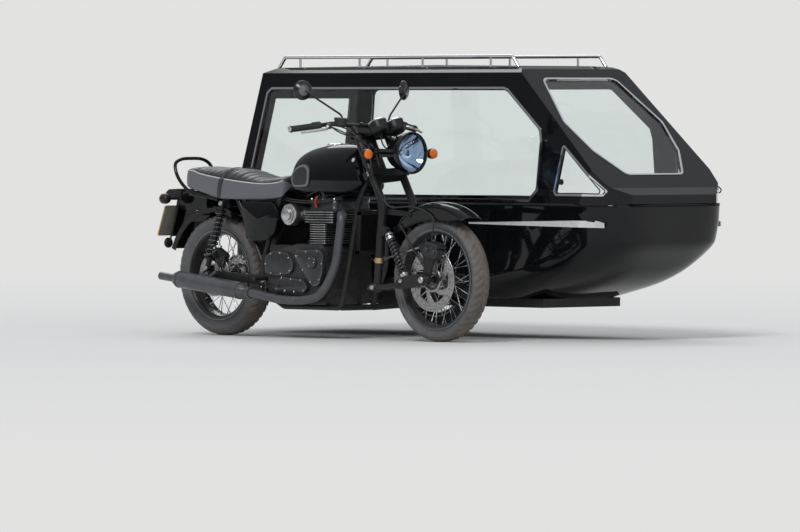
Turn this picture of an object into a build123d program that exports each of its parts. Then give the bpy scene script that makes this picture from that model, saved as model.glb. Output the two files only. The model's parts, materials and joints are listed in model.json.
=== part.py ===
"""Motorcycle with a glazed box sidecar, in millimetres.

+X runs forward, +Y runs to the left, towards the sidecar, and +Z runs up.
Shapes are drawn with X = 0 at the rear axle, Y = 0 at the motorcycle's middle plane and Z = 0 on the ground.
They are stored from the middle of the outfit's length and width.
"""
import os
from math import asin, atan2, cos, degrees, radians, sin, sqrt

from build123d import *

# Outfit
WHEELBASE = 1600.0
NOSE_X = 2330.0
TAIL_X = -463.0
BAR_END_Y = -445.0
BODY_MID_Y = 920.0
BODY_HALF = 440.0

# Fits
RUNNING = 0.05
SWEEP_GAP = 6.0
PAD_GAP = 1.5

# Wheels: centre x and y, tyre radius and half width, rim radius and half width, hub radius and half length
WHEELS = {
    "front": dict(x=WHEELBASE, y=0.0, tyre_r=312.0, tyre_w=55.0, rim_r=255.0, rim_w=38.0, hub_r=34.0, hub_w=52.0),
    "rear": dict(x=0.0, y=0.0, tyre_r=312.0, tyre_w=70.0, rim_r=235.0, rim_w=52.0, hub_r=44.0, hub_w=60.0),
    "sidecar": dict(x=250.0, y=1290.0, tyre_r=300.0, tyre_w=50.0, rim_r=225.0, rim_w=36.0, hub_r=38.0, hub_w=46.0),
}
FLANGE = 14.0
RIM_T = 5.0
AXLE_R = 9.0
SPOKE_R = 2.2
SPOKES = 36

# Steering head
HEAD_X = 1060.0
HEAD_Z = 1030.0
RAKE = 28.5
LEG_AHEAD = 30.0
LEG_Y = 105.0
LEG_R = 25.0
STEM_R = 15.0
HEAD_R = 32.0
TOP_YOKE_T = 32.0
LOW_YOKE_S = 235.0
LOW_YOKE_T = 40.0

# Leading arm
PIVOT_X = 1245.0
PIVOT_Z = 270.0
ARM_IN = 119.0
ARM_T = 18.0
EYE_HALF = 13.0

# Frame
TUBE_R = 14.0
CRADLE_Y = 110.0
CRADLE_Z = 160.0
RAIL_Y = 115.0
RAIL_Z = 730.0
SPINE_R = 22.0
SPINE_Z = 790.0
SWING_X = 430.0
SWING_Z = 290.0
SWING_IN = 100.0
SWING_OUT = 122.0
PLATE_OUT = 138.0
SHOCK_Y = 142.0

# Brakes and chain
FRONT_DISC_Y = -66.0
FRONT_DISC_R = 160.0
REAR_DISC_Y = -84.0
REAR_DISC_R = 112.0
DISC_T = 6.0
CHAIN_Y = 84.0
CHAIN_W = 14.0
CHAIN_T = 12.0
SPROCKET_R = 92.0
DRIVE_X = 530.0
DRIVE_Z = 300.0
DRIVE_R = 36.0

# Engine
ENGINE_HALF = 150.0
BARREL_X = (784.0, 902.0)
HEAD_FIN_X = (754.0, 961.0)
BARREL_Z = (480.0, 586.0)
HEAD_FIN_Z = (586.0, 650.0)
CAM_TOP = 724.0

# Sidecar body
FLOOR_Z = 205.0
BELT_Z = 690.0
NOSE_TOP_Z = 735.0
EAVES_Z = 1350.0
ROOF_Z = 1391.0
ROOF_HALF = 372.0
WALL = 20.0
CHAMFER_Z = 330.0
FLOOR_HALF = 320.0
ROOF_REAR_X = -320.0
ROOF_FRONT_X = 1590.0
SCREEN_FOOT = (2264.0, 770.0)
GLASS_T = 6.0
GLASS_IN = 5.0
TRIM_T = 3.0
TRIM_W = 11.0
DECK_Z = 672.0
DECK_T = 18.0
CHASSIS_Z = 160.0
NEAR_RAIL_Y = 640.0
FAR_RAIL_Y = 1140.0
BOX_TUBE = 50.0
HITCH_SPAN = 120.0
HITCH_R = 5.5
ARCH_R = 350.0
ARCH_IN = 1180.0
HINGE_R = 9.0
GATE_HIGH = 590.0
HINGE_PIN_R = 4.0
WINDOW_LOW = 708.0

# Stored origin: middle of the outfit's length and of its width, whose far edge is the side window's trim
LEAN = (BODY_HALF - ROOF_HALF) / (EAVES_Z - BELT_Z)
TRIM_EDGE = BODY_HALF - LEAN * (WINDOW_LOW - TRIM_W - BELT_Z) + TRIM_T * sqrt(1 + LEAN * LEAN)
MID_X = (NOSE_X + TAIL_X) / 2
MID_Y = (BAR_END_Y + BODY_MID_Y + TRIM_EDGE) / 2


def outline(points, radius=0.0):
    """Closed flat face through the points, corners rounded."""
    face = make_face(Polyline(*points, close=True))
    return fillet(face.vertices(), radius) if radius else face


def slab_y(points, y0, y1, radius=0.0):
    """Outline in X and Z, as thick as y0 to y1."""
    return extrude(Plane.XZ.offset(-y0) * outline(points, radius), amount=y0 - y1)


def slab_x(points, x0, x1, radius=0.0):
    """Outline in Y and Z, as long as x0 to x1."""
    return extrude(Plane.YZ.offset(x0) * outline(points, radius), amount=x1 - x0)


def slab_z(points, z0, z1, radius=0.0):
    """Outline in X and Y, as high as z0 to z1."""
    return extrude(Plane.XY.offset(z0) * outline(points, radius), amount=z1 - z0)


def block(x0, x1, y0, y1, z0, z1):
    """Box between two corners."""
    return Pos((x0 + x1) / 2, (y0 + y1) / 2, (z0 + z1) / 2) * Box(abs(x1 - x0), abs(y1 - y0), abs(z1 - z0))


def bar(start, end, radius):
    """Round bar between two points."""
    a = Vector(*start)
    b = Vector(*end)
    return extrude(Plane(origin=a, z_dir=b - a) * Circle(radius), amount=(b - a).length)


def cone(start, end, radius0, radius1):
    """Tapered round bar between two points."""
    a = Vector(*start)
    b = Vector(*end)
    plane = Plane(origin=a, z_dir=b - a)
    return loft([plane * Circle(radius0), plane.offset((b - a).length) * Circle(radius1)])


def tube(points, radius, bend):
    """Round tube along straight runs joined by arcs."""
    path = FilletPolyline(*points, radius=bend)
    return sweep((path ^ 0) * Circle(radius), path=path)


def turned(profile, x, y, z):
    """Ring about a cross axis; the profile is radius and side offset."""
    ring = revolve(make_face(Polyline(*profile, close=True)), axis=Axis.Y)
    return Pos(x, y, z) * ring


def turned_along(start, direction, profile):
    """Turned piece about a slanted axis; the profile is radius and distance along it."""
    face = Plane.XZ * make_face(Polyline(*profile, close=True))
    solid = revolve(face, axis=Axis.Z)
    return Plane(origin=Vector(*start), z_dir=Vector(*direction)) * solid


def joined(shapes):
    """One solid from pieces that meet."""
    first, *rest = shapes
    return first.fuse(*rest).clean() if rest else first


def less(shape, *cutters):
    """Shape with what its neighbours fill taken away."""
    for cutter in cutters:
        shape = shape - cutter
    return shape


def both_sides(shape):
    """The shape and its mirror image across the bike's middle plane."""
    return [shape, mirror(shape, about=Plane.XZ)]


def head(down, ahead=0.0, y=0.0):
    """Point measured along the steering axis from the top yoke, and square to it."""
    a = radians(RAKE)
    return (
        HEAD_X + down * sin(a) + ahead * cos(a),
        y,
        HEAD_Z - down * cos(a) + ahead * sin(a),
    )


def around(x, z, radius, angle):
    """Point on a circle in the side view, angle from straight ahead."""
    return (x + radius * cos(radians(angle)), z + radius * sin(radians(angle)))


def sector(x, z, inner, outer, first, last, steps=10):
    """Outline of a curved strip in the side view."""
    angles = [first + (last - first) * i / steps for i in range(steps + 1)]
    rim = [around(x, z, outer, a) for a in angles]
    back = [around(x, z, inner, a) for a in reversed(angles)]
    return rim + back


def tyre(w):
    """Tyre with a rounded crown, seated between the rim's flanges."""
    seat = w["rim_r"] - FLANGE
    bead = w["rim_w"]
    side = w["rim_r"] + 0.45 * (w["tyre_r"] - w["rim_r"])
    shoulder = w["tyre_r"] - 0.3 * w["tyre_w"]
    outer = w["tyre_w"]
    lines = [
        Line((seat, -bead), (w["rim_r"], -bead)),
        ThreePointArc((w["rim_r"], -bead), (side, -outer), (shoulder, -0.86 * outer)),
        ThreePointArc((shoulder, -0.86 * outer), (w["tyre_r"], 0), (shoulder, 0.86 * outer)),
        ThreePointArc((shoulder, 0.86 * outer), (side, outer), (w["rim_r"], bead)),
        Line((w["rim_r"], bead), (seat, bead)),
        Line((seat, bead), (seat, -bead)),
    ]
    ring = revolve(make_face(Curve() + lines), axis=Axis.Y)
    return Pos(w["x"], w["y"], w["tyre_r"]) * ring


def wire_wheel(w):
    """Rim, crossed spokes and hub in one piece, bored for its axle."""
    seat = w["rim_r"] - FLANGE
    flange = w["rim_w"] + RIM_T
    well = seat - RIM_T
    rim = turned(
        [(w["rim_r"], -flange), (w["rim_r"], -w["rim_w"]), (seat, -w["rim_w"]), (seat, w["rim_w"]),
         (w["rim_r"], w["rim_w"]), (w["rim_r"], flange), (well, flange), (well - 12, 0.4 * flange),
         (well - 12, -0.4 * flange), (well, -flange)], 0, 0, 0)
    lip = w["hub_r"] + 9
    bore = AXLE_R + RUNNING
    end = w["hub_w"]
    hub = turned(
        [(bore, -end), (w["hub_r"] * 0.6, -end), (lip, -end + 6), (lip, -end + 12), (w["hub_r"], -end + 16),
         (w["hub_r"], end - 16), (lip, end - 12), (lip, end - 6), (w["hub_r"] * 0.6, end), (bore, end)], 0, 0, 0)
    spokes = []
    for i in range(SPOKES):
        side = 1 if i % 2 else -1
        lean = 1 if (i // 2) % 2 else -1
        angle = 360 / SPOKES * i
        foot = angle + 55 * lean
        a = around(0, 0, w["hub_r"] + 3, foot)
        b = around(0, 0, well - 6, angle)
        foot_at = Vector(a[0], side * (end - 9), a[1])
        run = Vector(b[0], side * 4, b[1]) - foot_at
        spokes.append(extrude(Plane(origin=foot_at, z_dir=run) * RegularPolygon(SPOKE_R, 6), amount=run.length))
    return Pos(w["x"], w["y"], w["tyre_r"]) * joined([rim, hub] + spokes)


def brake_disc(w, y, radius, hub_end):
    """Disc with its dished carrier, standing off the hub's end."""
    step = 1 if y > 0 else -1
    face = y - step * DISC_T / 2
    rotor = turned([(radius - 38, y - DISC_T / 2), (radius, y - DISC_T / 2), (radius, y + DISC_T / 2),
                    (radius - 38, y + DISC_T / 2)], 0, 0, 0)
    bore = AXLE_R + RUNNING + 6
    carrier = turned([(bore, step * hub_end), (bore, y), (50, y), (radius - 37, y + step * DISC_T / 2),
                      (radius - 37, face), (54, face), (30, step * hub_end)], 0, 0, 0)
    slots = []
    for i in range(6):
        x, z = around(0, 0, (radius + 40) / 2, 60 * i)
        slots.append(Pos(x, y, z) * Rot(90, 0, 0) * Cylinder((radius - 90) / 2.6, 40))
    return Pos(w["x"], w["y"], w["tyre_r"]) * (joined([rotor, carrier]) - slots)


def sprocket(w):
    """Rear sprocket, its teeth just inside the chain."""
    teeth = [around(0, 0, SPROCKET_R - (5 if i % 2 else 0), 360 / 56 * i) for i in range(56)]
    plate = slab_y(teeth, CHAIN_Y - 4, CHAIN_Y + 4) - bar((0, CHAIN_Y - 9, 0), (0, CHAIN_Y + 9, 0), 56)
    carrier = turned([(AXLE_R + RUNNING + 6, w["hub_w"]), (46, w["hub_w"]), (62, CHAIN_Y - 4), (62, CHAIN_Y + 4),
                      (40, CHAIN_Y + 4), (34, CHAIN_Y - 6), (AXLE_R + RUNNING + 6, CHAIN_Y - 6)], 0, 0, 0)
    return Pos(w["x"], w["y"], w["tyre_r"]) * joined([plate, carrier])


def main_frame():
    """Twin-tube cradle, spine, seat rails, spindle plates and strut lugs."""
    a = radians(RAKE)
    column = bar(head(TOP_YOKE_T / 2 + 2), head(LOW_YOKE_S - LOW_YOKE_T / 2 - 2), HEAD_R)
    pieces = [column]
    low = RAIL_Z + TUBE_R - SPINE_R
    spine = tube([head(110), (1035, 0, SPINE_Z), (710, 0, SPINE_Z), (610, 0, low), (515, 0, low)], SPINE_R, 50)
    pieces.append(spine)
    for side in (-1, 1):
        y = side * CRADLE_Y
        wide = side * (SWING_OUT + 9)
        rail = side * RAIL_Y
        pieces.append(tube([head(150, -10, side * 18), (1070, side * 72, 690), (1045, y, 400), (985, y, CRADLE_Z),
                            (560, y, CRADLE_Z), (SWING_X, wide, 235), (SWING_X, wide, 420)], TUBE_R, 38))
        pieces.append(bar((560, rail, RAIL_Z), (-150, rail, RAIL_Z), TUBE_R))
        pieces.append(bar((200, rail, RAIL_Z), (SWING_X, wide, 360), TUBE_R))
        pieces.append(bar((540, rail, RAIL_Z), (SWING_X, wide, 400), TUBE_R))
        plate = slab_y([(395, 245), (465, 245), (470, 330), (430, 420), (395, 330)], side * (SWING_OUT + RUNNING),
                       side * PLATE_OUT)
        pieces.append(plate)
        lug = slab_y([(95, 655), (155, 655), (150, RAIL_Z), (100, RAIL_Z)], side * (RAIL_Y - 8), side * (RAIL_Y + 8))
        pieces.append(lug)
        pieces.append(bar((125, side * RAIL_Y, 680), (125, side * (SHOCK_Y + 12), 680), 8))
    for x, radius in ((-140, 10), (290, 12), (530, 11)):
        pieces.append(bar((x, -RAIL_Y, RAIL_Z), (x, RAIL_Y, RAIL_Z), radius))
    pieces.append(bar((985, -CRADLE_Y, CRADLE_Z), (985, CRADLE_Y, CRADLE_Z), TUBE_R))
    frame = joined(pieces)
    stem_bore = bar(head(0), head(LOW_YOKE_S), STEM_R + RUNNING)
    spindle_bore = bar((SWING_X, -160, SWING_Z), (SWING_X, 160, SWING_Z), 10)
    return frame - stem_bore - spindle_bore


def swingarm():
    """Box arms on a cross tube, with spindle, axle and shock pins."""
    w = WHEELS["rear"]
    z = w["tyre_r"]
    pieces = [bar((SWING_X, -SWING_OUT, SWING_Z), (SWING_X, SWING_OUT, SWING_Z), 24),
              bar((SWING_X, -PLATE_OUT - 6, SWING_Z), (SWING_X, PLATE_OUT + 6, SWING_Z), 10),
              bar((0, -SWING_OUT - 8, z), (0, SWING_OUT + 8, z), AXLE_R)]
    for side in (-1, 1):
        arm = slab_y([(SWING_X, SWING_Z + 22), (30, z + 22), (-45, z + 20), (-45, z - 20), (30, z - 22),
                      (SWING_X, SWING_Z - 22)], side * SWING_IN, side * SWING_OUT, 6)
        lug = slab_y([(-8, z), (28, z), (30, z + 48), (-10, z + 48)], side * (SWING_OUT - 14), side * SWING_OUT)
        pin = bar((10, side * (SWING_OUT - 4), z + 34), (10, side * (SHOCK_Y + 12), z + 34), 8)
        spacer = bar((0, side * (w["hub_w"] + 1), z), (0, side * SWING_IN, z), 13)
        pieces += [arm, lug, pin, spacer]
    return joined(pieces)


def damper(top, bottom, eye, spring_r, half):
    """Damper unit: eyes, body, rod and a coil drawn as stacked rings."""
    a = Vector(*top)
    b = Vector(*bottom)
    span = (b - a).length
    eye_w = half
    profile = [(0, 10), (9, 10), (9, 26), (spring_r * 0.85, 26), (spring_r, 34), (spring_r, 46)]
    coils = 8
    first = 46
    last = span - 46
    pitch = (last - first) / coils
    for i in range(coils):
        z = first + pitch * i
        profile += [(spring_r - 9, z + 0.05 * pitch), (spring_r, z + 0.3 * pitch), (spring_r, z + 0.7 * pitch),
                    (spring_r - 9, z + 0.95 * pitch)]
    profile += [(spring_r, last), (spring_r, last + 8), (10, last + 12), (10, span - 10), (0, span - 10)]
    body = turned_along(top, b - a, profile)
    eyes = []
    for p in (a, b):
        eyes.append(bar((p.X, p.Y - eye_w, p.Z), (p.X, p.Y + eye_w, p.Z), eye))
    return joined([body] + eyes)


def rear_shocks():
    z = WHEELS["rear"]["tyre_r"] + 34
    units = []
    for side in (-1, 1):
        unit = damper((125, side * SHOCK_Y, 680), (10, side * SHOCK_Y, z), 17, 26, 11)
        units.append(unit)
    return units


def plate_line():
    """Top and bottom of the number plate's front face in X and Z, and its unit normal."""
    top = Vector(-342, 662)
    low = Vector(-402, 506)
    run = (low - top).normalized()
    return top, low, Vector(run.Y, -run.X)


def rear_mudguard():
    """Curved guard over the rear wheel, with its tail bracket."""
    w = WHEELS["rear"]
    strip = slab_y(sector(0, w["tyre_r"], 348, 352, 62, 158), -88, 88)
    skirts = []
    for side in (-1, 1):
        skirts.append(slab_y(sector(0, w["tyre_r"], 322, 352, 62, 158), side * 84, side * 88))
    saddle = block(-60, -30, -RAIL_Y + TUBE_R, RAIL_Y - TUBE_R, 655, 700)
    posts = [block(-60, -30, side * (RAIL_Y - 20), side * (RAIL_Y - 4), 655, RAIL_Z) for side in (-1, 1)]
    tail = slab_y([(-30, 662), (-40, 700), (-150, 736), (-315, 736), (-335, 690), (-342, 662), (-300, 645),
                   (-190, 640), (-100, 650)], -42, 42)
    top, low, thick = plate_line()
    carrier = slab_y([top - thick * 6, top, low, low - thick * 6], -30, 30)
    return joined([strip] + skirts + [saddle, tail, carrier] + posts)


def grab_rail():
    """Bright loop behind the seat."""
    side_run = [(60, 138, 738), (-60, 138, 760), (-240, 132, 880), (-308, 80, 902)]
    points = side_run + [(x, -y, z) for x, y, z in reversed(side_run)]
    rail = tube(points, 9, 28)
    feet = [block(40, 70, side * (RAIL_Y + 4), side * 140, 730, 742) for side in (-1, 1)]
    return joined([rail] + feet)


def tail_lamps():
    """Tail lamp on the guard, with two round indicators on stems."""
    lamp = slab_y([(-312, 692), (-410, 700), (-428, 712), (-428, 728), (-410, 740), (-312, 738)], -46, 46, 5)
    stalk = bar((-334, -110, 700), (-334, 110, 700), 8)
    pods = [turned_along((-310, side * 122, 700), (-1, 0, 0),
                         [(0, 0), (16, 4), (25, 20), (26, 40), (22, 50), (0, 54)]) for side in (-1, 1)]
    return joined([lamp, stalk] + pods)


def number_plate():
    """Blank plate on its bracket, with a round reflector below."""
    top, low, thick = plate_line()
    return slab_y([top, top + thick * 3, low + thick * 3, low], -115, 115)


def seat():
    """Long dual seat with rolled edges."""
    base = slab_y([(-190, 744), (-190, 840), (-168, 864), (-40, 862), (330, 846), (520, 838), (568, 806),
                   (568, 744)], -120, 120)
    edges = base.edges().filter_by(GeomType.LINE).filter_by_position(Axis.Y, -121, -119)
    edges += base.edges().filter_by(GeomType.LINE).filter_by_position(Axis.Y, 119, 121)
    tops = [e for e in edges if e.center().Z > 800]
    return fillet(tops, 14)


def fuel_tank():
    """Teardrop tank with a tunnel over the spine."""
    side = [(592, 748), (596, 838), (640, 872), (760, 930), (900, 972), (975, 974), (1022, 944), (1085, 800),
            (1080, 748)]
    body = slab_y(side, -142, 142, 12)
    plan = slab_z([(580, -96), (700, -122), (840, -142), (1000, -140), (1100, -100), (1100, 100), (1000, 140),
                   (840, 142), (700, 122), (580, 96)], 740, 990, 20)
    cross = slab_x([(-142, 748), (-142, 890), (-112, 948), (-60, 975), (60, 975), (112, 948), (142, 890),
                    (142, 748)], 580, 1100, 20)
    tank = body & plan & cross
    tunnel = slab_x([(-34, 740), (34, 740), (34, SPINE_Z + 6), (20, SPINE_Z + SPINE_R), (-20, SPINE_Z + SPINE_R),
                     (-34, SPINE_Z + 6)], 580, 1110)
    neck = block(985, 1120, -44, 44, 740, 990)
    return tank - tunnel - neck


def filler_cap():
    return Pos(826, 0, 950) * Cylinder(38, 60)


def knee_pads():
    """Oval rubber pads on the tank's flanks."""
    pads = []
    for side in (-1, 1):
        pad = slab_y([(628, 800), (640, 862), (700, 880), (752, 850), (748, 800), (690, 778)], side * 100,
                     side * 150, 22)
        pads.append(pad)
    return pads


def side_panels():
    panels = []
    for side in (-1, 1):
        panel = slab_y([(282, 500), (330, 492), (520, 560), (534, 600), (500, 668), (300, 668), (276, 600)],
                       side * (RAIL_Y + 34), side * (RAIL_Y + 50), 14)
        panels.append(panel)
    return panels


def airbox():
    """Air box and battery tray between the side panels, under the cross tubes."""
    box = slab_y([(250, 500), (470, 470), (545, 560), (545, RAIL_Z - TUBE_R), (250, RAIL_Z - TUBE_R)], -92, 92, 12)
    ears = [block(330, 480, side * 92, side * (RAIL_Y + 34), 560, 640) for side in (-1, 1)]
    return joined([box] + ears)


def crankcase():
    """Crankcase block standing on the cradle tubes, stepped in for the chain."""
    low = CRADLE_Z + TUBE_R
    side = [(480, 235), (560, low), (900, low), (938, 250), (925, 440), (885, BARREL_Z[0]), (700, BARREL_Z[0]),
            (560, 450), (480, 400)]
    case = slab_y(side, -ENGINE_HALF, ENGINE_HALF, 10)
    return case - block(470, 590, 66, 160, 160, 470)


def cylinder_block():
    """Two finned barrels and their finned head, with the cam cover on top."""
    x0, x1 = BARREL_X
    pieces = [block(x0 + 16, x1 - 16, -138, 138, BARREL_Z[0], HEAD_FIN_Z[1])]
    fins = 9
    pitch = (BARREL_Z[1] - BARREL_Z[0]) / fins
    for i in range(fins):
        z = BARREL_Z[0] + pitch * (i + 0.4)
        pieces.append(slab_z([(x0, -150), (x1, -150), (x1, 150), (x0, 150)], z, z + 3.5, 18))
    h0, h1 = HEAD_FIN_X
    pieces.append(block(h0 + 14, h1 - 14, -134, 134, HEAD_FIN_Z[0], HEAD_FIN_Z[1]))
    head_fins = 5
    pitch = (HEAD_FIN_Z[1] - HEAD_FIN_Z[0]) / head_fins
    for i in range(head_fins):
        z = HEAD_FIN_Z[0] + pitch * (i + 0.3)
        pieces.append(slab_z([(h0, -156), (h1, -156), (h1, 156), (h0, 156)], z, z + 3.5, 22))
    return joined(pieces)


def cam_cover():
    h0, h1 = HEAD_FIN_X
    z = HEAD_FIN_Z[1]
    cover = slab_x([(-146, z), (146, z), (146, z + 34), (110, CAM_TOP), (-110, CAM_TOP), (-146, z + 34)], h0 + 10,
                   h1 - 14, 10)
    return cover


def engine_covers():
    """Clutch and timing cover on the right, alternator and chain covers on the left."""
    y = ENGINE_HALF
    right = slab_y([(690, 448), (790, 320), (848, 264), (892, 272), (916, 330), (925, 430), (895, 455)], -y - 44, -y, 16)
    boss = bar((855, -y - 44, 389), (855, -y - 56, 389), 30)
    bulge = slab_y([(470, 330), (560, 318), (670, 330), (686, 380), (640, 436), (540, 444), (470, 420)], -y - 22, -y,
                   24)
    low = slab_y([(560, 238), (770, 234), (800, 262), (760, 300), (600, 312), (550, 268)], -y - 30, -y, 12)
    rights = joined([less(right, bulge, low), boss, bulge, low])
    alternator = bar((800, y, 330), (800, y + 46, 330), 92)
    chain_cover = slab_y([(595, 240), (640, 220), (700, 260), (700, 400), (640, 430), (595, 410)], y, y + 26, 18)
    lefts = joined([alternator, chain_cover])
    return [rights, lefts]


def throttle_bodies():
    """Twin throttle bodies across the back of the head, with their bright side caps."""
    z = 636
    across = bar((634, -ENGINE_HALF, z), (634, ENGINE_HALF, z), 40)
    runs = [bar((HEAD_FIN_X[0] + 14, side * 62, 618), (545, side * 62, 640), 26) for side in (-1, 1)]
    return joined([across] + runs)


def radiator():
    """Narrow radiator between the front tubes."""
    core = slab_y([(1062, 430), (1092, 430), (1106, 650), (1076, 650)], -88, 88, 4)
    return core


def exhausts():
    """Two downpipes swept back into straight silencers with reduced tail pipes."""
    pipe = tube([(HEAD_FIN_X[1] - 14, -88, 622), (1030, -112, 612), (1003, -158, 395), (940, -178, 262),
                 (833, -184, 207), (640, -190, 188), (430, -197, 210), (372, -200, 232), (330, -200, 236.6)], 20, 40)
    a = Vector(372, -200, 232)
    b = Vector(-283, -200, 304)
    direction = b - a
    silencer = turned_along(a, direction, [(0, 2), (23, 2), (24, 8), (37, 28), (39, 60), (36, 520), (30, 540),
                                           (20, 552), (20, direction.length), (16, direction.length), (16, 556),
                                           (0, 556)])
    right = joined([pipe, silencer])
    return both_sides(right)


def footrests():
    """Folding rests on their plates, brake pedal right and gear pedal left."""
    pieces = []
    for side in (-1, 1):
        peg = bar((SWING_X + 30, side * PLATE_OUT, 300), (SWING_X + 30, side * 232, 300), 11)
        stem = tube([(SWING_X + 30, side * (PLATE_OUT + 20), 300), (SWING_X + 50, side * (PLATE_OUT + 26), 262),
                     (610, side * 226, 262), (650, side * 232, 266)], 6, 10)
        pieces.append(joined([peg, stem]))
    return pieces


def drive_chain():
    """Chain loop and its small front sprocket."""
    rear_r = SPROCKET_R + SWEEP_GAP
    z = WHEELS["rear"]["tyre_r"]
    outer_rear = rear_r + CHAIN_T
    outer_drive = DRIVE_R + CHAIN_T
    links = []
    for r0, r1 in ((outer_rear, outer_drive), (rear_r, DRIVE_R)):
        span = DRIVE_X
        drop = degrees(asin((r0 - r1) / span))
        tilt = degrees(atan2(DRIVE_Z - z, span))
        high = [around(0, z, r0, tilt + 90 - drop + (180 + 2 * drop) * i / 16) for i in range(17)]
        low = [around(DRIVE_X, DRIVE_Z, r1, tilt - 90 - (-drop) + (180 - 2 * drop) * i / 8) for i in range(9)]
        links.append(high + low)
    y0 = CHAIN_Y - CHAIN_W / 2
    y1 = CHAIN_Y + CHAIN_W / 2
    loop = slab_y(links[0], y0, y1) - slab_y(links[1], y0 - 1, y1 + 1)
    drive = bar((DRIVE_X, 66, DRIVE_Z), (DRIVE_X, y1 - 4, DRIVE_Z), DRIVE_R)
    return joined([loop, drive])


def caliper(x, z, y, radius, angle, inner, outer):
    """Block that straddles a disc's rim, slotted for it."""
    cx, cz = around(x, z, radius - 14, angle)
    body = Pos(cx, (inner + outer) / 2, cz) * Rot(0, -angle, 0) * Box(52, abs(outer - inner), 96)
    body = fillet(body.edges().filter_by(Axis.Y), 9)
    gap = DISC_T + 2 * PAD_GAP
    slot = turned([(20, y - gap / 2), (radius + 6, y - gap / 2), (radius + 6, y + gap / 2), (20, y + gap / 2)], x, 0, z)
    return body - slot


def rear_caliper():
    z = WHEELS["rear"]["tyre_r"]
    body = caliper(0, z, REAR_DISC_Y, REAR_DISC_R, 62, -100, -72)
    return body


def front_caliper():
    z = WHEELS["front"]["tyre_r"]
    body = caliper(WHEELBASE, z, FRONT_DISC_Y, FRONT_DISC_R, 235, -ARM_IN + 22, -54)
    bracket = slab_y([(1484, 300), (1536, 300), (1540, 205), (1494, 205)], -ARM_IN, -ARM_IN + 22, 5)
    return joined([body, bracket])


def yokes():
    """Top and bottom yokes on the stem."""
    pieces = []
    for s0, s1, wide in ((-TOP_YOKE_T / 2, TOP_YOKE_T / 2, 34), (LOW_YOKE_S - LOW_YOKE_T / 2,
                                                              LOW_YOKE_S + LOW_YOKE_T / 2, 40)):
        plane = Plane(origin=Vector(*head(s0)), x_dir=(cos(radians(RAKE)), 0, sin(radians(RAKE))),
                      z_dir=Vector(*head(1)) - Vector(*head(0)))
        shape = outline([(-30, -34), (LEG_AHEAD - wide, -LEG_Y - 22), (LEG_AHEAD + wide - 4, -LEG_Y - 22),
                         (LEG_AHEAD + 22, 0), (LEG_AHEAD + wide - 4, LEG_Y + 22), (LEG_AHEAD - wide, LEG_Y + 22),
                         (-30, 34)], 10)
        pieces.append(extrude(plane * shape, amount=s1 - s0))
    pieces.append(bar(head(-TOP_YOKE_T / 2 - 14), head(LOW_YOKE_S), STEM_R))
    pieces.append(bar(head(-TOP_YOKE_T / 2 - 14), head(-TOP_YOKE_T / 2), 20))
    return joined(pieces)


def leg_points(side):
    y = side * LEG_Y
    return [head(-26, LEG_AHEAD, y), (1288, y, 676), (1264, y, 500), (PIVOT_X, y, PIVOT_Z + 10)]


def fork_legs():
    """Legs bent back below the lower yoke, ending in pivot eyes, with the upper shock lugs."""
    legs = []
    for side in (-1, 1):
        y = side * LEG_Y
        leg = tube(leg_points(side), LEG_R, 60)
        eye = bar((PIVOT_X, y - EYE_HALF, PIVOT_Z), (PIVOT_X, y + EYE_HALF, PIVOT_Z), 26)
        lug = slab_y([(1262, 585), (1262, 520), (1312, 538), (1324, 556), (1310, 574)], y + side * 6, y + side * 18)
        pin = bar((1310, y + side * 10, 555), (1310, y - side * 18, 555), 8)
        bore = bar((PIVOT_X, y - 60, PIVOT_Z), (PIVOT_X, y + 60, PIVOT_Z), 9)
        legs.append(joined([leg, eye, lug, pin]) - bore)
    return legs


def leading_arm():
    """Two arms and the loop behind the wheel, with pivot bolts and axle."""
    z = WHEELS["front"]["tyre_r"]
    w = WHEELS["front"]
    pieces = []
    for side in (-1, 1):
        y0 = side * ARM_IN
        y1 = side * (ARM_IN + ARM_T)
        arm = slab_y([(PIVOT_X - 26, PIVOT_Z - 20), (PIVOT_X + 30, PIVOT_Z - 26), (1450, 280), (WHEELBASE + 34, z - 24),
                      (WHEELBASE + 34, z + 24), (1450, 328), (PIVOT_X + 10, PIVOT_Z + 26), (PIVOT_X - 26, PIVOT_Z + 20)],
                     y0, y1, 8)
        bolt = bar((PIVOT_X, side * (LEG_Y - EYE_HALF - 8), PIVOT_Z), (PIVOT_X, side * (ARM_IN + ARM_T + 8), PIVOT_Z), 9)
        pin = bar((1450, side * (LEG_Y - 22), 304), (1450, y0 + side * 4, 304), 8)
        spacer = bar((WHEELBASE, side * (w["hub_w"] + 1), z), (WHEELBASE, y0 + side * 2, z), 13)
        pieces += [arm, bolt, pin, spacer]
    y = ARM_IN + 15
    back = PIVOT_X - 56
    loop = tube([(PIVOT_X, y, PIVOT_Z), (back, y, PIVOT_Z - 6), (back, -y, PIVOT_Z - 6), (PIVOT_X, -y, PIVOT_Z)], 14, 34)
    axle = bar((WHEELBASE, -ARM_IN - ARM_T - 10, z), (WHEELBASE, ARM_IN + ARM_T + 10, z), AXLE_R)
    return joined(pieces + [loop, axle])


def front_shocks():
    return [damper((1310, side * (LEG_Y - 5), 555), (1450, side * (LEG_Y - 5), 304), 17, 24, 10)
            for side in (-1, 1)]


def front_mudguard():
    """Curved guard on stays from the legs and the arm."""
    z = WHEELS["front"]["tyre_r"]
    strip = slab_y(sector(WHEELBASE, z, 384, 388, 52, 133), -70, 70)
    skirts = [slab_y(sector(WHEELBASE, z, 366, 388, 52, 133), side * 66, side * 70) for side in (-1, 1)]
    stays = [slab_y([(1276, 596), (1350, 584), (1350, 600), (1276, 612)], side * 66, side * (LEG_Y - 10))
             for side in (-1, 1)]
    return joined([strip] + skirts + stays)


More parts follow.
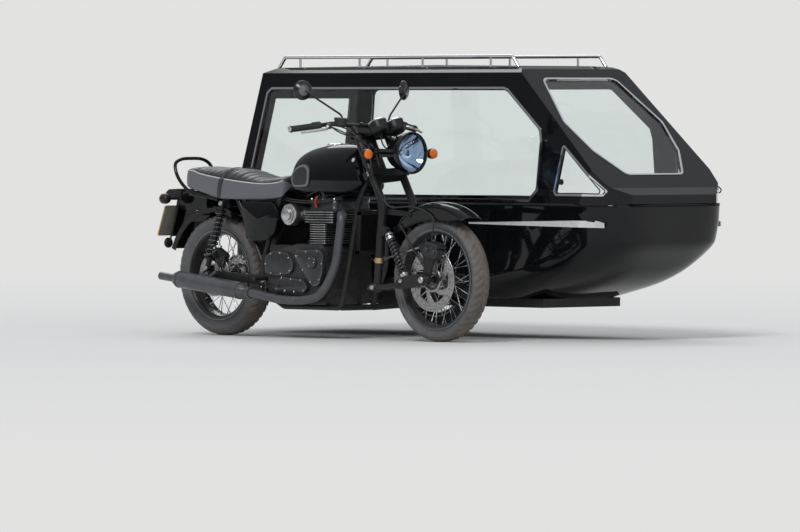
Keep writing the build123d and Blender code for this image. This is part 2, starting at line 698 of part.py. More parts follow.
def handlebar():
    """One-piece bar in two risers on the top yoke."""
    half = [(952, 430, 1063), (985, 300, 1074), (1078, 170, 1098), (1088, 0, 1100)]
    points = half[:3] + [(x, -y, z) for x, y, z in reversed(half[:3])]
    tube_bar = tube(points, 11, 50)
    foot = [(-TOP_YOKE_T / 2)]
    risers = []
    for side in (-1, 1):
        base = head(foot[0], 4, side * 45)
        risers.append(bar(base, (1079, side * 45, 1098), 16))
    return joined([tube_bar] + risers)


def hand_controls():
    """Grips, switch blocks and levers."""
    sets = []
    for side in (-1, 1):
        a = Vector(952, side * 430, 1063)
        b = Vector(985, side * 300, 1074)
        run = (b - a).normalized()
        grip = bar(a, b, 17)
        end = bar((952, side * 424, 1063), (952, side * -BAR_END_Y, 1063), 15)
        switch = bar(b, b + run * 42, 21)
        lever = tube([(1010, side * 262, 1080), (1052, side * 290, 1076), (1030, side * 420, 1062)], 6, 14)
        perch = bar((990, side * 275, 1076), (1040, side * 268, 1080), 11)
        sets.append(joined([grip, end, switch, lever, perch]))
    return sets


def mirrors():
    """Round mirrors on bent stems."""
    out = []
    for side in (-1, 1):
        stem = tube([(1027, side * 240, 1084), (1020, side * 245, 1130), (962, side * 352, 1256)], 5, 12)
        cup = turned_along((968, side * 357, 1259), (-1, 0, 0), [(0, 0), (38, 2), (52, 12), (52, 18), (0, 18)])
        out.append(joined([stem, cup]))
    return out


def instruments():
    """Two round clocks on a bracket ahead of the top yoke."""
    tilt = Vector(-0.5, 0, 0.866)
    cups = [turned_along((1222, side * 58, 1042), tilt, [(0, 0), (36, 0), (47, 14), (48, 62), (44, 66), (0, 66)])
            for side in (-1, 1)]
    base = head(0, LEG_AHEAD + 34)
    bracket = block(base[0] - 10, 1236, -70, 70, 1026, 1048)
    return joined(cups + [bracket])


def headlight_shell():
    """Round bowl with its rim, held by two ears on the legs."""
    z = 944
    bowl = turned_along((1379, 0, z), (-1, 0, 0), [(92, 0), (103, 0), (103, 18), (96, 30), (84, 90), (50, 130),
                                                  (0, 142), (0, 134), (46, 122), (78, 86), (90, 26), (92, 18)])
    ears = []
    for side in (-1, 1):
        ears.append(slab_y([(1150, 930), (1180, 925), (1362, 936), (1362, 952), (1180, 965), (1158, 960)], side * 94,
                           side * 99, 4))
    return joined([bowl] + ears)


def headlight_lens():
    return turned_along((1379, 0, 944), (1, 0, 0), [(0, -18), (92, -18), (92, 0), (60, 7), (0, 10)])


def front_indicators():
    pods = []
    for side in (-1, 1):
        stem = bar((1250, side * 99, 944), (1276, side * 204, 940), 7)
        pod = turned_along((1262, side * 226, 939), (1, 0, 0), [(0, 0), (16, 4), (25, 20), (26, 40), (22, 50), (0, 54)])
        pods.append(joined([stem, pod]))
    return pods


def body_outlines(inset=0.0):
    """The body's three outlines moved in by a wall: side view, end view and plan."""
    side = [(TAIL_X, BELT_Z), (ROOF_REAR_X, EAVES_Z), (-240, ROOF_Z - 12), (600, ROOF_Z), (ROOF_FRONT_X - 60, ROOF_Z - 8),
            (ROOF_FRONT_X, ROOF_Z - 24), SCREEN_FOOT, (NOSE_X, NOSE_TOP_Z), (NOSE_X, 503), (2237, 420), (2124, 340),
            (1982, 278), (1790, 226), (1700, FLOOR_Z), (-430, FLOOR_Z)]
    end = [(-BODY_HALF, CHAMFER_Z), (-BODY_HALF, BELT_Z), (-ROOF_HALF, EAVES_Z), (-ROOF_HALF + 40, ROOF_Z - 14),
           (0, ROOF_Z), (ROOF_HALF - 40, ROOF_Z - 14), (ROOF_HALF, EAVES_Z), (BODY_HALF, BELT_Z),
           (BODY_HALF, CHAMFER_Z), (FLOOR_HALF, FLOOR_Z), (-FLOOR_HALF, FLOOR_Z)]
    end = [(BODY_MID_Y + y, z) for y, z in end]
    m = BODY_MID_Y
    plan = [(TAIL_X, m - BODY_HALF + 30), (TAIL_X + 30, m - BODY_HALF), (2090, m - BODY_HALF), (2240, m - BODY_HALF + 36),
            (NOSE_X, m - 300), (NOSE_X, m + 300), (2240, m + BODY_HALF - 36), (2090, m + BODY_HALF),
            (TAIL_X + 30, m + BODY_HALF), (TAIL_X, m + BODY_HALF - 30)]
    faces = [outline(side), outline(end), outline(plan)]
    if inset:
        faces = [offset(f, -inset, kind=Kind.INTERSECTION) for f in faces]
    return faces


def body_solid(inset=0.0):
    """Faceted body: what the three outlines have in common."""
    side, end, plan = body_outlines(inset)
    across = extrude(Plane.XZ.offset(-(BODY_MID_Y - 500)) * side, amount=-1000)
    along = extrude(Plane.YZ.offset(-600) * end, amount=3200)
    up = extrude(Plane.XY.offset(100) * plan, amount=1400)
    return across & along & up


SIDE_WINDOW = [(-376, WINDOW_LOW), (-268, 1244), (-240, 1266), (1490, 1266), (1520, 1258), (1772, 1062),
               (1786, 1010), (1782, 760), (1730, WINDOW_LOW)]
QUARTER = [(1955, 975), (1916, 752), (1926, 740), (2228, 740), (2238, 756)]


def screen_plane():
    """Plane of the windscreen: origin at its top middle, x to the left, y down the slope."""
    top = Vector(ROOF_FRONT_X, BODY_MID_Y, ROOF_Z - 24)
    foot = Vector(SCREEN_FOOT[0], BODY_MID_Y, SCREEN_FOOT[1])
    down = (foot - top).normalized()
    normal = Vector(0, 1, 0).cross(down)
    return Plane(origin=top, x_dir=(0, 1, 0), z_dir=normal), (foot - top).length


def screen_outline(grow=0.0):
    half_top, half_mid, half_foot = 254, 344, 196
    pts = [(-half_top, 80), (half_top, 80), (half_mid, 405), (300, 620), (half_foot, 795), (-half_foot, 795),
           (-300, 620), (-half_mid, 405)]
    face = outline(pts, 40)
    return offset(face, grow, kind=Kind.ARC) if grow else face


def window_prisms(grow=0.0):
    """Cutters for the side windows and quarter windows, and for the windscreen."""
    cutters = []
    for y0, y1 in ((BODY_MID_Y - 520, BODY_MID_Y), (BODY_MID_Y, BODY_MID_Y + 520)):
        for pts, radius in ((SIDE_WINDOW, 12), (QUARTER, 4)):
            face = outline(pts, radius)
            face = offset(face, grow, kind=Kind.ARC) if grow else face
            cutters.append(extrude(Plane.XZ.offset(-y0) * face, amount=y0 - y1))
    plane, length = screen_plane()
    cutters.append(extrude(plane.offset(-60) * screen_outline(grow), amount=160))
    return cutters


def gate_plane():
    """Plane of the raked rear wall: origin at the belt, x to the right side, y up the slope."""
    foot = Vector(TAIL_X, BODY_MID_Y, BELT_Z)
    top = Vector(ROOF_REAR_X, BODY_MID_Y, EAVES_Z)
    up = (top - foot).normalized()
    normal = up.cross(Vector(0, 1, 0)) * -1
    if normal.X > 0:
        normal = normal * -1
    return Plane(origin=foot, x_dir=up.cross(normal), z_dir=normal), (top - foot).length


def gate_face(grow=0.0):
    half_foot, half_top = 360, 312
    face = outline([(-half_foot, 14), (half_foot, 14), (half_top, GATE_HIGH), (-half_top, GATE_HIGH)], 24)
    return offset(face, grow, kind=Kind.ARC) if grow else face


def sidecar_bodies():
    """Tub, deck, canopy, glasses, bright trims and tailgate, cut from one faceted shell."""
    outer = body_solid()
    inner = body_solid(WALL)
    shell = outer - inner
    below = block(-600, 2500, 300, 1500, 100, BELT_Z)
    above = block(-600, 2500, 300, 1500, BELT_Z, 1500)
    arch = bar((WHEELS["sidecar"]["x"], ARCH_IN, WHEELS["sidecar"]["tyre_r"]),
               (WHEELS["sidecar"]["x"], 1400, WHEELS["sidecar"]["tyre_r"]), ARCH_R)
    tub = (shell & below) - arch
    lining = bar((WHEELS["sidecar"]["x"], ARCH_IN - 4, WHEELS["sidecar"]["tyre_r"]),
                 (WHEELS["sidecar"]["x"], BODY_MID_Y + BODY_HALF - WALL, WHEELS["sidecar"]["tyre_r"]), ARCH_R + 4)
    house = (lining - arch) & inner
    tub = less(tub, lining)
    deck = inner & block(-600, 2500, 300, 1500, DECK_Z - DECK_T, DECK_Z)
    canopy = shell & above
    cutters = window_prisms()
    canopy = less(canopy, *cutters)
    glass_layer = (body_solid(GLASS_IN) - body_solid(GLASS_IN + GLASS_T)) & above
    panes = [glass_layer & c for c in cutters]
    trim_layer = (body_solid(-TRIM_T) - outer) & above
    trims = []
    for ring, hole in zip(window_prisms(TRIM_W), cutters):
        trims.append((trim_layer & ring) - hole)
    plane, length = gate_plane()
    opening = extrude(plane.offset(-60) * gate_face(SWEEP_GAP), amount=120)
    gate_cut = extrude(plane.offset(-60) * gate_face(), amount=120)
    gate = (shell & above) & gate_cut
    canopy = canopy - opening
    pane_face = offset(gate_face(), -46, kind=Kind.ARC)
    pane_cut = extrude(plane.offset(-60) * pane_face, amount=120)
    gate_glass = (glass_layer & gate_cut) & pane_cut
    gate = gate - pane_cut
    moving, fixed = gate_hinges()
    gate = joined([gate] + moving)
    canopy = joined([canopy] + fixed)
    return tub, house, deck, canopy, panes, trims, gate, gate_glass


def roof_rails():
    """Two bright rails on posts along the roof."""
    rails = []
    top = 1432
    for side in (-1, 1):
        y = BODY_MID_Y + side * 312
        run = tube([(-258, y, ROOF_Z - 14), (-212, y, top), (1486, y, top), (1530, y, ROOF_Z - 14)], 9, 24)
        posts = [bar((x, y, ROOF_Z - 14), (x, y, top), 6) for x in (-96, 354, 826, 1327)]
        rails.append(joined([run] + posts))
    return rails


def sidecar_chassis():
    """Ladder of box tubes under the tub, with the wheel's arm and stub axle and the strut lugs."""
    w = WHEELS["sidecar"]
    half = BOX_TUBE / 2
    y0 = NEAR_RAIL_Y
    y1 = FAR_RAIL_Y
    pieces = []
    for y in (y0, y1):
        pieces.append(block(-350, 1700, y - half, y + half, CHASSIS_Z, FLOOR_Z))
    for x in (-325, 250, 1000, 1675):
        pieces.append(block(x - half, x + half, y0, y1, CHASSIS_Z, FLOOR_Z))
    arm = slab_y([(470, CHASSIS_Z), (520, FLOOR_Z), (w["x"] + 20, w["tyre_r"] + 24), (w["x"] - 26, w["tyre_r"] + 24),
                  (w["x"] - 26, w["tyre_r"] - 26)], ARCH_IN + 10, ARCH_IN + 32, 6)
    root = block(440, 520, y1, ARCH_IN + 30, CHASSIS_Z, FLOOR_Z - 2)
    spacer = bar((w["x"], ARCH_IN + 20, w["tyre_r"]), (w["x"], w["y"] - w["hub_w"] - 1, w["tyre_r"]), 15)
    stub = bar((w["x"], ARCH_IN + 20, w["tyre_r"]), (w["x"], w["y"] + w["hub_w"] + 8, w["tyre_r"]), AXLE_R)
    nut = bar((w["x"], w["y"] + w["hub_w"] + 1, w["tyre_r"]), (w["x"], w["y"] + w["hub_w"] + 9, w["tyre_r"]), 15)
    chassis = joined(pieces + [root, arm, spacer, stub, nut])
    level = (CHASSIS_Z + FLOOR_Z) / 2
    for y in (-HITCH_SPAN / 2, HITCH_SPAN / 2):
        chassis -= bar((-370, (y0 + y1) / 2 + y, level), (-290, (y0 + y1) / 2 + y, level), HITCH_R)
    return chassis


def sidecar_struts():
    """Four struts from the bike's frame to the near chassis rail."""
    rail_y = NEAR_RAIL_Y - BOX_TUBE / 2
    low = CHASSIS_Z + 22
    struts = [bar((SWING_X, PLATE_OUT - 8, 330), (SWING_X, rail_y + 2, low), 16),
              bar((985, CRADLE_Y, CRADLE_Z), (985, rail_y + 2, low), 16)]
    for x_top, y_top, z_top, x_low in ((1056, 84, 600, 1100), (240, RAIL_Y, RAIL_Z, 205)):
        struts.append(tube([(x_top, y_top, z_top), (x_low - 5, 440, low + 14), (x_low, rail_y + 2, low)], TUBE_R, 70))
    return struts


def sidecar_lamps():
    """Round tail lamps low on the rear wall and a side lamp on the nose."""
    lamps = []
    x = TAIL_X + 12
    for side in (-1, 1):
        y = BODY_MID_Y + side * 330
        lamps.append(bar((x + 4, y, 600), (TAIL_X, y, 600), 36))
    return lamps


def side_stripe():
    """Bright tapering strip along the tub's near side."""
    y = BODY_MID_Y - BODY_HALF
    points = [(1300, 584), (2060, 578), (2060, 606), (1300, 590)]
    return slab_y(points, y - 2, y)


def gate_hinges():
    """Two pinned hinges on the gate's top edge: the gate's halves, then the canopy's halves."""
    plane, length = gate_plane()
    out = HINGE_R + 1
    axis = plane * Pos(0, GATE_HIGH + SWEEP_GAP / 2, out)
    moving = []
    fixed = []
    for y in (-200, 200):
        eye = axis * Pos(y, 0, 0) * Rot(0, 90, 0)
        bore = eye * Cylinder(HINGE_PIN_R + RUNNING, 80)
        knuckle = eye * Cylinder(HINGE_R, 22)
        leaf = plane * Pos(y, GATE_HIGH + SWEEP_GAP + 20, 2) * Box(22, 40, 4)
        fixed.append(joined([knuckle, leaf, plane * Pos(y, GATE_HIGH + SWEEP_GAP / 2 + 4, 4) * Box(22, 8, 8)]) - bore)
        pin = eye * Cylinder(HINGE_PIN_R, 50)
        sides = []
        for step in (-18, 18):
            sides.append(axis * Pos(y + step, 0, 0) * Rot(0, 90, 0) * Cylinder(HINGE_R, 13))
            sides.append(plane * Pos(y + step, GATE_HIGH - 18, 2) * Box(13, 36, 4))
            sides.append(plane * Pos(y + step, GATE_HIGH - 1, 4) * Box(13, 8, 8))
        moving.append(joined([pin] + sides))
    return moving, fixed


def store(name, shapes):
    """Moves a piece to the stored origin and writes it."""
    solids = shapes if isinstance(shapes, (list, tuple)) else [shapes]
    shift = Pos(-MID_X, -MID_Y, 0)
    flat = []
    for s in solids:
        flat += [shift * piece for piece in s.solids()]
    out = flat[0] if len(flat) == 1 else Compound(children=flat)
    export_step(out, f"parts/{name}.step")
    return out


def main():
    os.makedirs("parts", exist_ok=True)
    frame = main_frame()
    arm = swingarm()
    chassis = sidecar_chassis()
    tub, house, deck, canopy, panes, trims, gate, gate_glass = sidecar_bodies()
    tank = fuel_tank()
    case = crankcase()
    cylinders = cylinder_block()
    cam = cam_cover()
    box = airbox()
    throttles = less(throttle_bodies(), cylinders, box)
    mud = less(rear_mudguard(), frame)
    pipes = [less(p, cylinders) for p in exhausts()]
    leg = fork_legs()
    yoke = less(yokes(), *leg)
    f_arm = leading_arm()
    for tag in WHEELS:
        w = WHEELS[tag]
        store(f"{tag}_tyre", tyre(w))
        store(f"{tag}_wheel", wire_wheel(w))
    store("front_disc", brake_disc(WHEELS["front"], FRONT_DISC_Y, FRONT_DISC_R, WHEELS["front"]["hub_w"]))
    rear_disc = brake_disc(WHEELS["rear"], REAR_DISC_Y, REAR_DISC_R, WHEELS["rear"]["hub_w"])
    store("rear_disc", [rear_disc, sprocket(WHEELS["rear"])])
    store("main_frame", less(frame, arm))
    store("swingarm", arm)
    store("rear_shocks", [less(s, frame, arm) for s in rear_shocks()])
    store("rear_mudguard", mud)
    store("grab_rail", less(grab_rail(), frame))
    store("tail_lamps", less(tail_lamps(), mud))
    store("number_plate", less(number_plate(), mud))
    store("seat", less(seat(), mud))
    store("fuel_tank", less(tank, frame))
    store("filler_cap", less(filler_cap(), tank))
    store("knee_pads", [less(p, tank) for p in knee_pads()])
    store("side_panels", side_panels())
    store("airbox", less(box, frame))
    store("crankcase", less(case, frame, arm))
    store("cylinder_block", cylinders)
    store("engine_covers", engine_covers() + [less(cam, cylinders)])
    store("throttle_bodies", throttles)
    store("radiator", less(radiator(), frame))
    store("exhausts", pipes)
    store("footrests", footrests())
    store("drive_chain", drive_chain())
    store("rear_caliper", less(rear_caliper(), arm))
    store("yokes", yoke)
    store("fork_legs", leg)
    store("leading_arm", less(f_arm, *leg))
    store("front_shocks", [less(s, f_arm, *leg) for s in front_shocks()])
    store("front_mudguard", less(front_mudguard(), *leg))
    store("front_caliper", front_caliper())
    grips = less(handlebar(), yoke)
    controls = [less(c, grips) for c in hand_controls()]
    store("handlebar", grips)
    store("hand_controls", controls)
    store("mirrors", [less(m, grips, *controls) for m in mirrors()])
    store("instruments", less(instruments(), yoke, *leg))
    shell = less(headlight_shell(), *leg)
    store("headlight_shell", shell)
    store("headlight_lens", headlight_lens())
    store("front_indicators", [less(f, shell) for f in front_indicators()])
    store("sidecar_chassis", chassis)
    store("sidecar_struts", [less(s, frame, chassis, arm) for s in sidecar_struts()])
    store("sidecar_tub", tub)
    store("wheel_house", house)
    store("sidecar_deck", deck)
    store("canopy", canopy)
    store("sidecar_glass", panes)
    store("bright_trims", trims + [side_stripe()])
    store("roof_rails", [less(r, canopy) for r in roof_rails()])
    store("sidecar_lamps", [less(s, tub) for s in sidecar_lamps()])
    store("tailgate", gate)
    store("tailgate_glass", gate_glass)


if __name__ == "__main__":
    main()
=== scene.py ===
"""Finishes, stage and fine pieces for a motorcycle with a glazed box sidecar.

It is laid out as an add-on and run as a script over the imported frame. Shapes are drawn in millimetres from
the ground under the rear axle, +X ahead, +Y towards the sidecar and +Z up, and are then placed in the
frame's metres.
"""
import json

import bmesh
import bpy
import numpy as np
from bpy.props import FloatProperty, FloatVectorProperty, IntProperty, PointerProperty
from bpy.types import Operator, Panel, PropertyGroup
from mathutils import Matrix


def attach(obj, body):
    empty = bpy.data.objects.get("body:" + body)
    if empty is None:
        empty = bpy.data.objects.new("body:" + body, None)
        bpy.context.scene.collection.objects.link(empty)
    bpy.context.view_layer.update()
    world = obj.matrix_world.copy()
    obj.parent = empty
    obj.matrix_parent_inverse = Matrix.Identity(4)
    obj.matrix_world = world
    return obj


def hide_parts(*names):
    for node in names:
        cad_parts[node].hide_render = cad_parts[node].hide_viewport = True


bl_info = {
    "name": "Sidecar outfit",
    "version": (1, 0, 0),
    "blender": (4, 5, 0),
    "location": "3D View > Sidebar > Outfit",
    "description": "Dresses the packed motorcycle and its glazed sidecar",
    "category": "Object",
}

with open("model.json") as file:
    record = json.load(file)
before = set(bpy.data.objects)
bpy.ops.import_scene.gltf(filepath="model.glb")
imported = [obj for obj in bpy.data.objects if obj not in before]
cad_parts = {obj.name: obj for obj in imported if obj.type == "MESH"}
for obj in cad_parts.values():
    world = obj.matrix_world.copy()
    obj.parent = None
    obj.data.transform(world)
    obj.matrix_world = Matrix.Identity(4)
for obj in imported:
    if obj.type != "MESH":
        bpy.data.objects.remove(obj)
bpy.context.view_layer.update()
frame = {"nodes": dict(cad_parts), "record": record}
ORIGIN = np.array([933.5, 458.6473, 0.0])
TAU = 2 * np.pi
SLOT_OF = {part["node"]: part["material_slot"] for part in frame["record"]["subparts"]}

# Camera, in metres, and the plain colour behind the object
CAMERA_AT = (29.117, -27.744, 1.210)
CAMERA_AIM = (0.1023, -0.2103, 0.3674)
CAMERA_LENS = 354.6
BACKDROP = (0.76, 0.76, 0.755)

# Motorcycle, in millimetres
FRONT_X = 1600.0
REAR_X = 0.0
AXLE_Z = 312.0
HEAD_X = 1060.0
HEAD_Z = 1030.0
RAKE = np.radians(28.5)
PIVOT = (1245.0, 270.0)
LEG_Y = 105.0
FRONT_SHOCK = ((1310.0, 100.0, 555.0), (1450.0, 100.0, 304.0))
REAR_SHOCK = ((125.0, 142.0, 680.0), (10.0, 142.0, 346.0))
SILENCER = ((372.0, 200.0, 232.0), (-283.0, 200.0, 304.0))
SPROCKET_X, SPROCKET_Z = 530.0, 300.0
CHAIN_Y = 84.0
CASE_Y = 150.0
THROTTLE_X, THROTTLE_Z = 618.0, 628.0
HEADLIGHT = (1379.0, 0.0, 944.0)
BAR_END, BAR_BEND = (952.0, 430.0, 1063.0), (1006.0, 300.0, 1080.0)
BAR_CLAMP = (1060.0, 45.0, 1080.0)
FRONT_DISC = dict(y=-66.0, radius=160.0)
REAR_DISC = dict(y=-84.0, radius=112.0)
TANK_MID_Z = 800.0
TANK_PLAN = [(566, 78), (600, 104), (690, 130), (800, 142), (900, 145), (990, 140), (1060, 116), (1118, 62)]
TANK_TOP = [(566, 850), (590, 886), (632, 930), (700, 960), (790, 978), (880, 988), (960, 988), (1030, 976),
            (1085, 946), (1120, 900)]

# Sidecar, in millimetres
BODY_MID_Y = 920.0
BODY_HALF = 440.0
TOP_HALF, TOP_Z = 372.0, 1338.0
BELT_Z = 690.0
FLOOR_Z = 205.0
NOSE_X = 2327.0
LEAN = (BODY_HALF - TOP_HALF) / (TOP_Z - BELT_Z)
ARCH_R = 350.0

WHEELS = {
    "front": dict(body="front_roller", x=FRONT_X, y=0.0, r=312.0, half=55.0, rim=255.0, rim_half=38.0,
                  hub=34.0, hub_half=52.0),
    "rear": dict(body="rear_roller", x=REAR_X, y=0.0, r=312.0, half=70.0, rim=235.0, rim_half=52.0,
                 hub=44.0, hub_half=60.0),
    "sidecar": dict(body="sidecar_roller", x=250.0, y=1290.0, r=300.0, half=50.0, rim=225.0, rim_half=36.0,
                    hub=38.0, hub_half=46.0),
}


# Curves and surfaces

def vec(*values):
    """The numbers as one array."""
    return np.array(values, float)


def sided(points, side):
    """Points drawn on the left, carried to the side whose sign is given."""
    return np.asarray(points, float) * vec(1, side, 1)


def unit(v):
    """Directions of length one."""
    return v / np.linalg.norm(v, axis=-1, keepdims=True)


def head(down, ahead=0.0, y=0.0):
    """Point measured along the steering axis from the top yoke, and square to it."""
    return vec(HEAD_X + down * np.sin(RAKE) + ahead * np.cos(RAKE), y,
               HEAD_Z - down * np.cos(RAKE) + ahead * np.sin(RAKE))


def spline(points, count, closed=False):
    """Smooth line through the points: on each span the cubic whose end slopes are half the step between the
    neighbours, taken at evenly spaced parameters."""
    p = np.asarray(points, float)
    if closed:
        p = np.concatenate([p[-1:], p, p[:2]])
    else:
        p = np.concatenate([2 * p[:1] - p[1:2], p, 2 * p[-1:] - p[-2:-1]])
    spans = len(p) - 3
    t = np.linspace(0, spans, count, endpoint=not closed)
    i = np.minimum(t.astype(int), spans - 1)
    f = (t - i)[:, None]
    a, b, c, d = p[i], p[i + 1], p[i + 2], p[i + 3]
    square = 2 * a - 5 * b + 4 * c - d
    cube = 3 * b - a - 3 * c + d
    return 0.5 * (2 * b + (c - a) * f + square * f ** 2 + cube * f ** 3)


def even(line, count, closed=False):
    """The line measured out again in equal steps of its length."""
    p = np.concatenate([line, line[:1]]) if closed else line
    reach = np.concatenate([[0], np.cumsum(np.linalg.norm(np.diff(p, axis=0), axis=1))])
    at = np.linspace(0, reach[-1], count, endpoint=not closed)
    return np.stack([np.interp(at, reach, p[:, k]) for k in range(p.shape[1])], axis=1)


def bent(points, radius, cuts=8):
    """Straight runs joined by arcs: each corner b gives way to centre + r * (cos t * x + sin t * y), where
    the centre lies on the corner's bisector, r / sin(half angle) from b."""
    p = np.asarray(points, float)
    out = [p[:1]]
    for a, b, c in zip(p[:-2], p[1:-1], p[2:]):
        u = unit(a - b)
        w = unit(c - b)
        half = np.arccos(np.clip(u @ w, -1, 1)) / 2
        if np.pi - 2 * half < 0.03:
            out.append(b[None])
            continue
        reach = min(radius / np.tan(half), 0.49 * np.linalg.norm(a - b), 0.49 * np.linalg.norm(c - b))
        r = reach * np.tan(half)
        centre = b + unit(u + w) * r / np.sin(half)
        x = unit(b + u * reach - centre)
        y = unit((b + w * reach - centre) - x * ((b + w * reach - centre) @ x))
        t = np.linspace(0, np.pi - 2 * half, cuts)[:, None]
        out.append(centre + r * (np.cos(t) * x + np.sin(t) * y))
    out.append(p[-1:])
    return np.concatenate(out)


def rounded(points, radius, cuts=7):
    """Closed outline with each corner an arc, started half way along its last side."""
    p = np.asarray(points, float)
    start = (p[-1] + p[0]) / 2
    line = bent(np.concatenate([start[None], p, start[None]]), radius, cuts)
    return line[:-1]


def ring(count):
    """Angles once round."""
    return np.linspace(0, TAU, count, endpoint=False)


def circle(radius, count):
    """Round outline: radius * (cos t, sin t)."""
    a = ring(count)
    return radius * np.stack([np.cos(a), np.sin(a)], axis=1)


def piped(path, radius, sides=14, closed=False):
    """Round section carried along a path: P = path + r * (cos t * n + sin t * b), with n kept from twisting
    by taking the last n less its part along the new direction."""
    if closed:
        along = unit(np.roll(path, -1, axis=0) - np.roll(path, 1, axis=0))
    else:
        along = unit(np.gradient(path, axis=0))
    n = [unit(np.cross(along[0], vec(0.31, 0.87, 0.39)))]
    for t in along[1:]:
        n.append(unit(n[-1] - t * (n[-1] @ t)))
    n = np.array(n)
    b = np.cross(along, n)
    r = np.broadcast_to(np.asarray(radius, float), (len(path),))[:, None, None]
    a = ring(sides)[None, :, None]
    return path[:, None] + r * (np.cos(a) * n[:, None] + np.sin(a) * b[:, None])


def turned(profile, centre, axis, count=48):
    """Profile (radius, distance) turned about an axis: P = centre + distance * axis + radius * (cos t * e1
    + sin t * e2)."""
    axis = unit(np.asarray(axis, float))
    e1 = unit(np.cross(axis, vec(0.31, 0.87, 0.39)))
    e2 = np.cross(axis, e1)
    p = np.asarray(profile, float)
    t = ring(count)
    spoke = np.cos(t)[:, None] * e1 + np.sin(t)[:, None] * e2
    return np.asarray(centre, float) + p[:, None, 1:2] * axis + p[:, None, :1] * spoke[None]


def smooth_profile(points, count=40):
    """Turned profile softened through its points."""
    return even(spline(points, 6 * count), count)


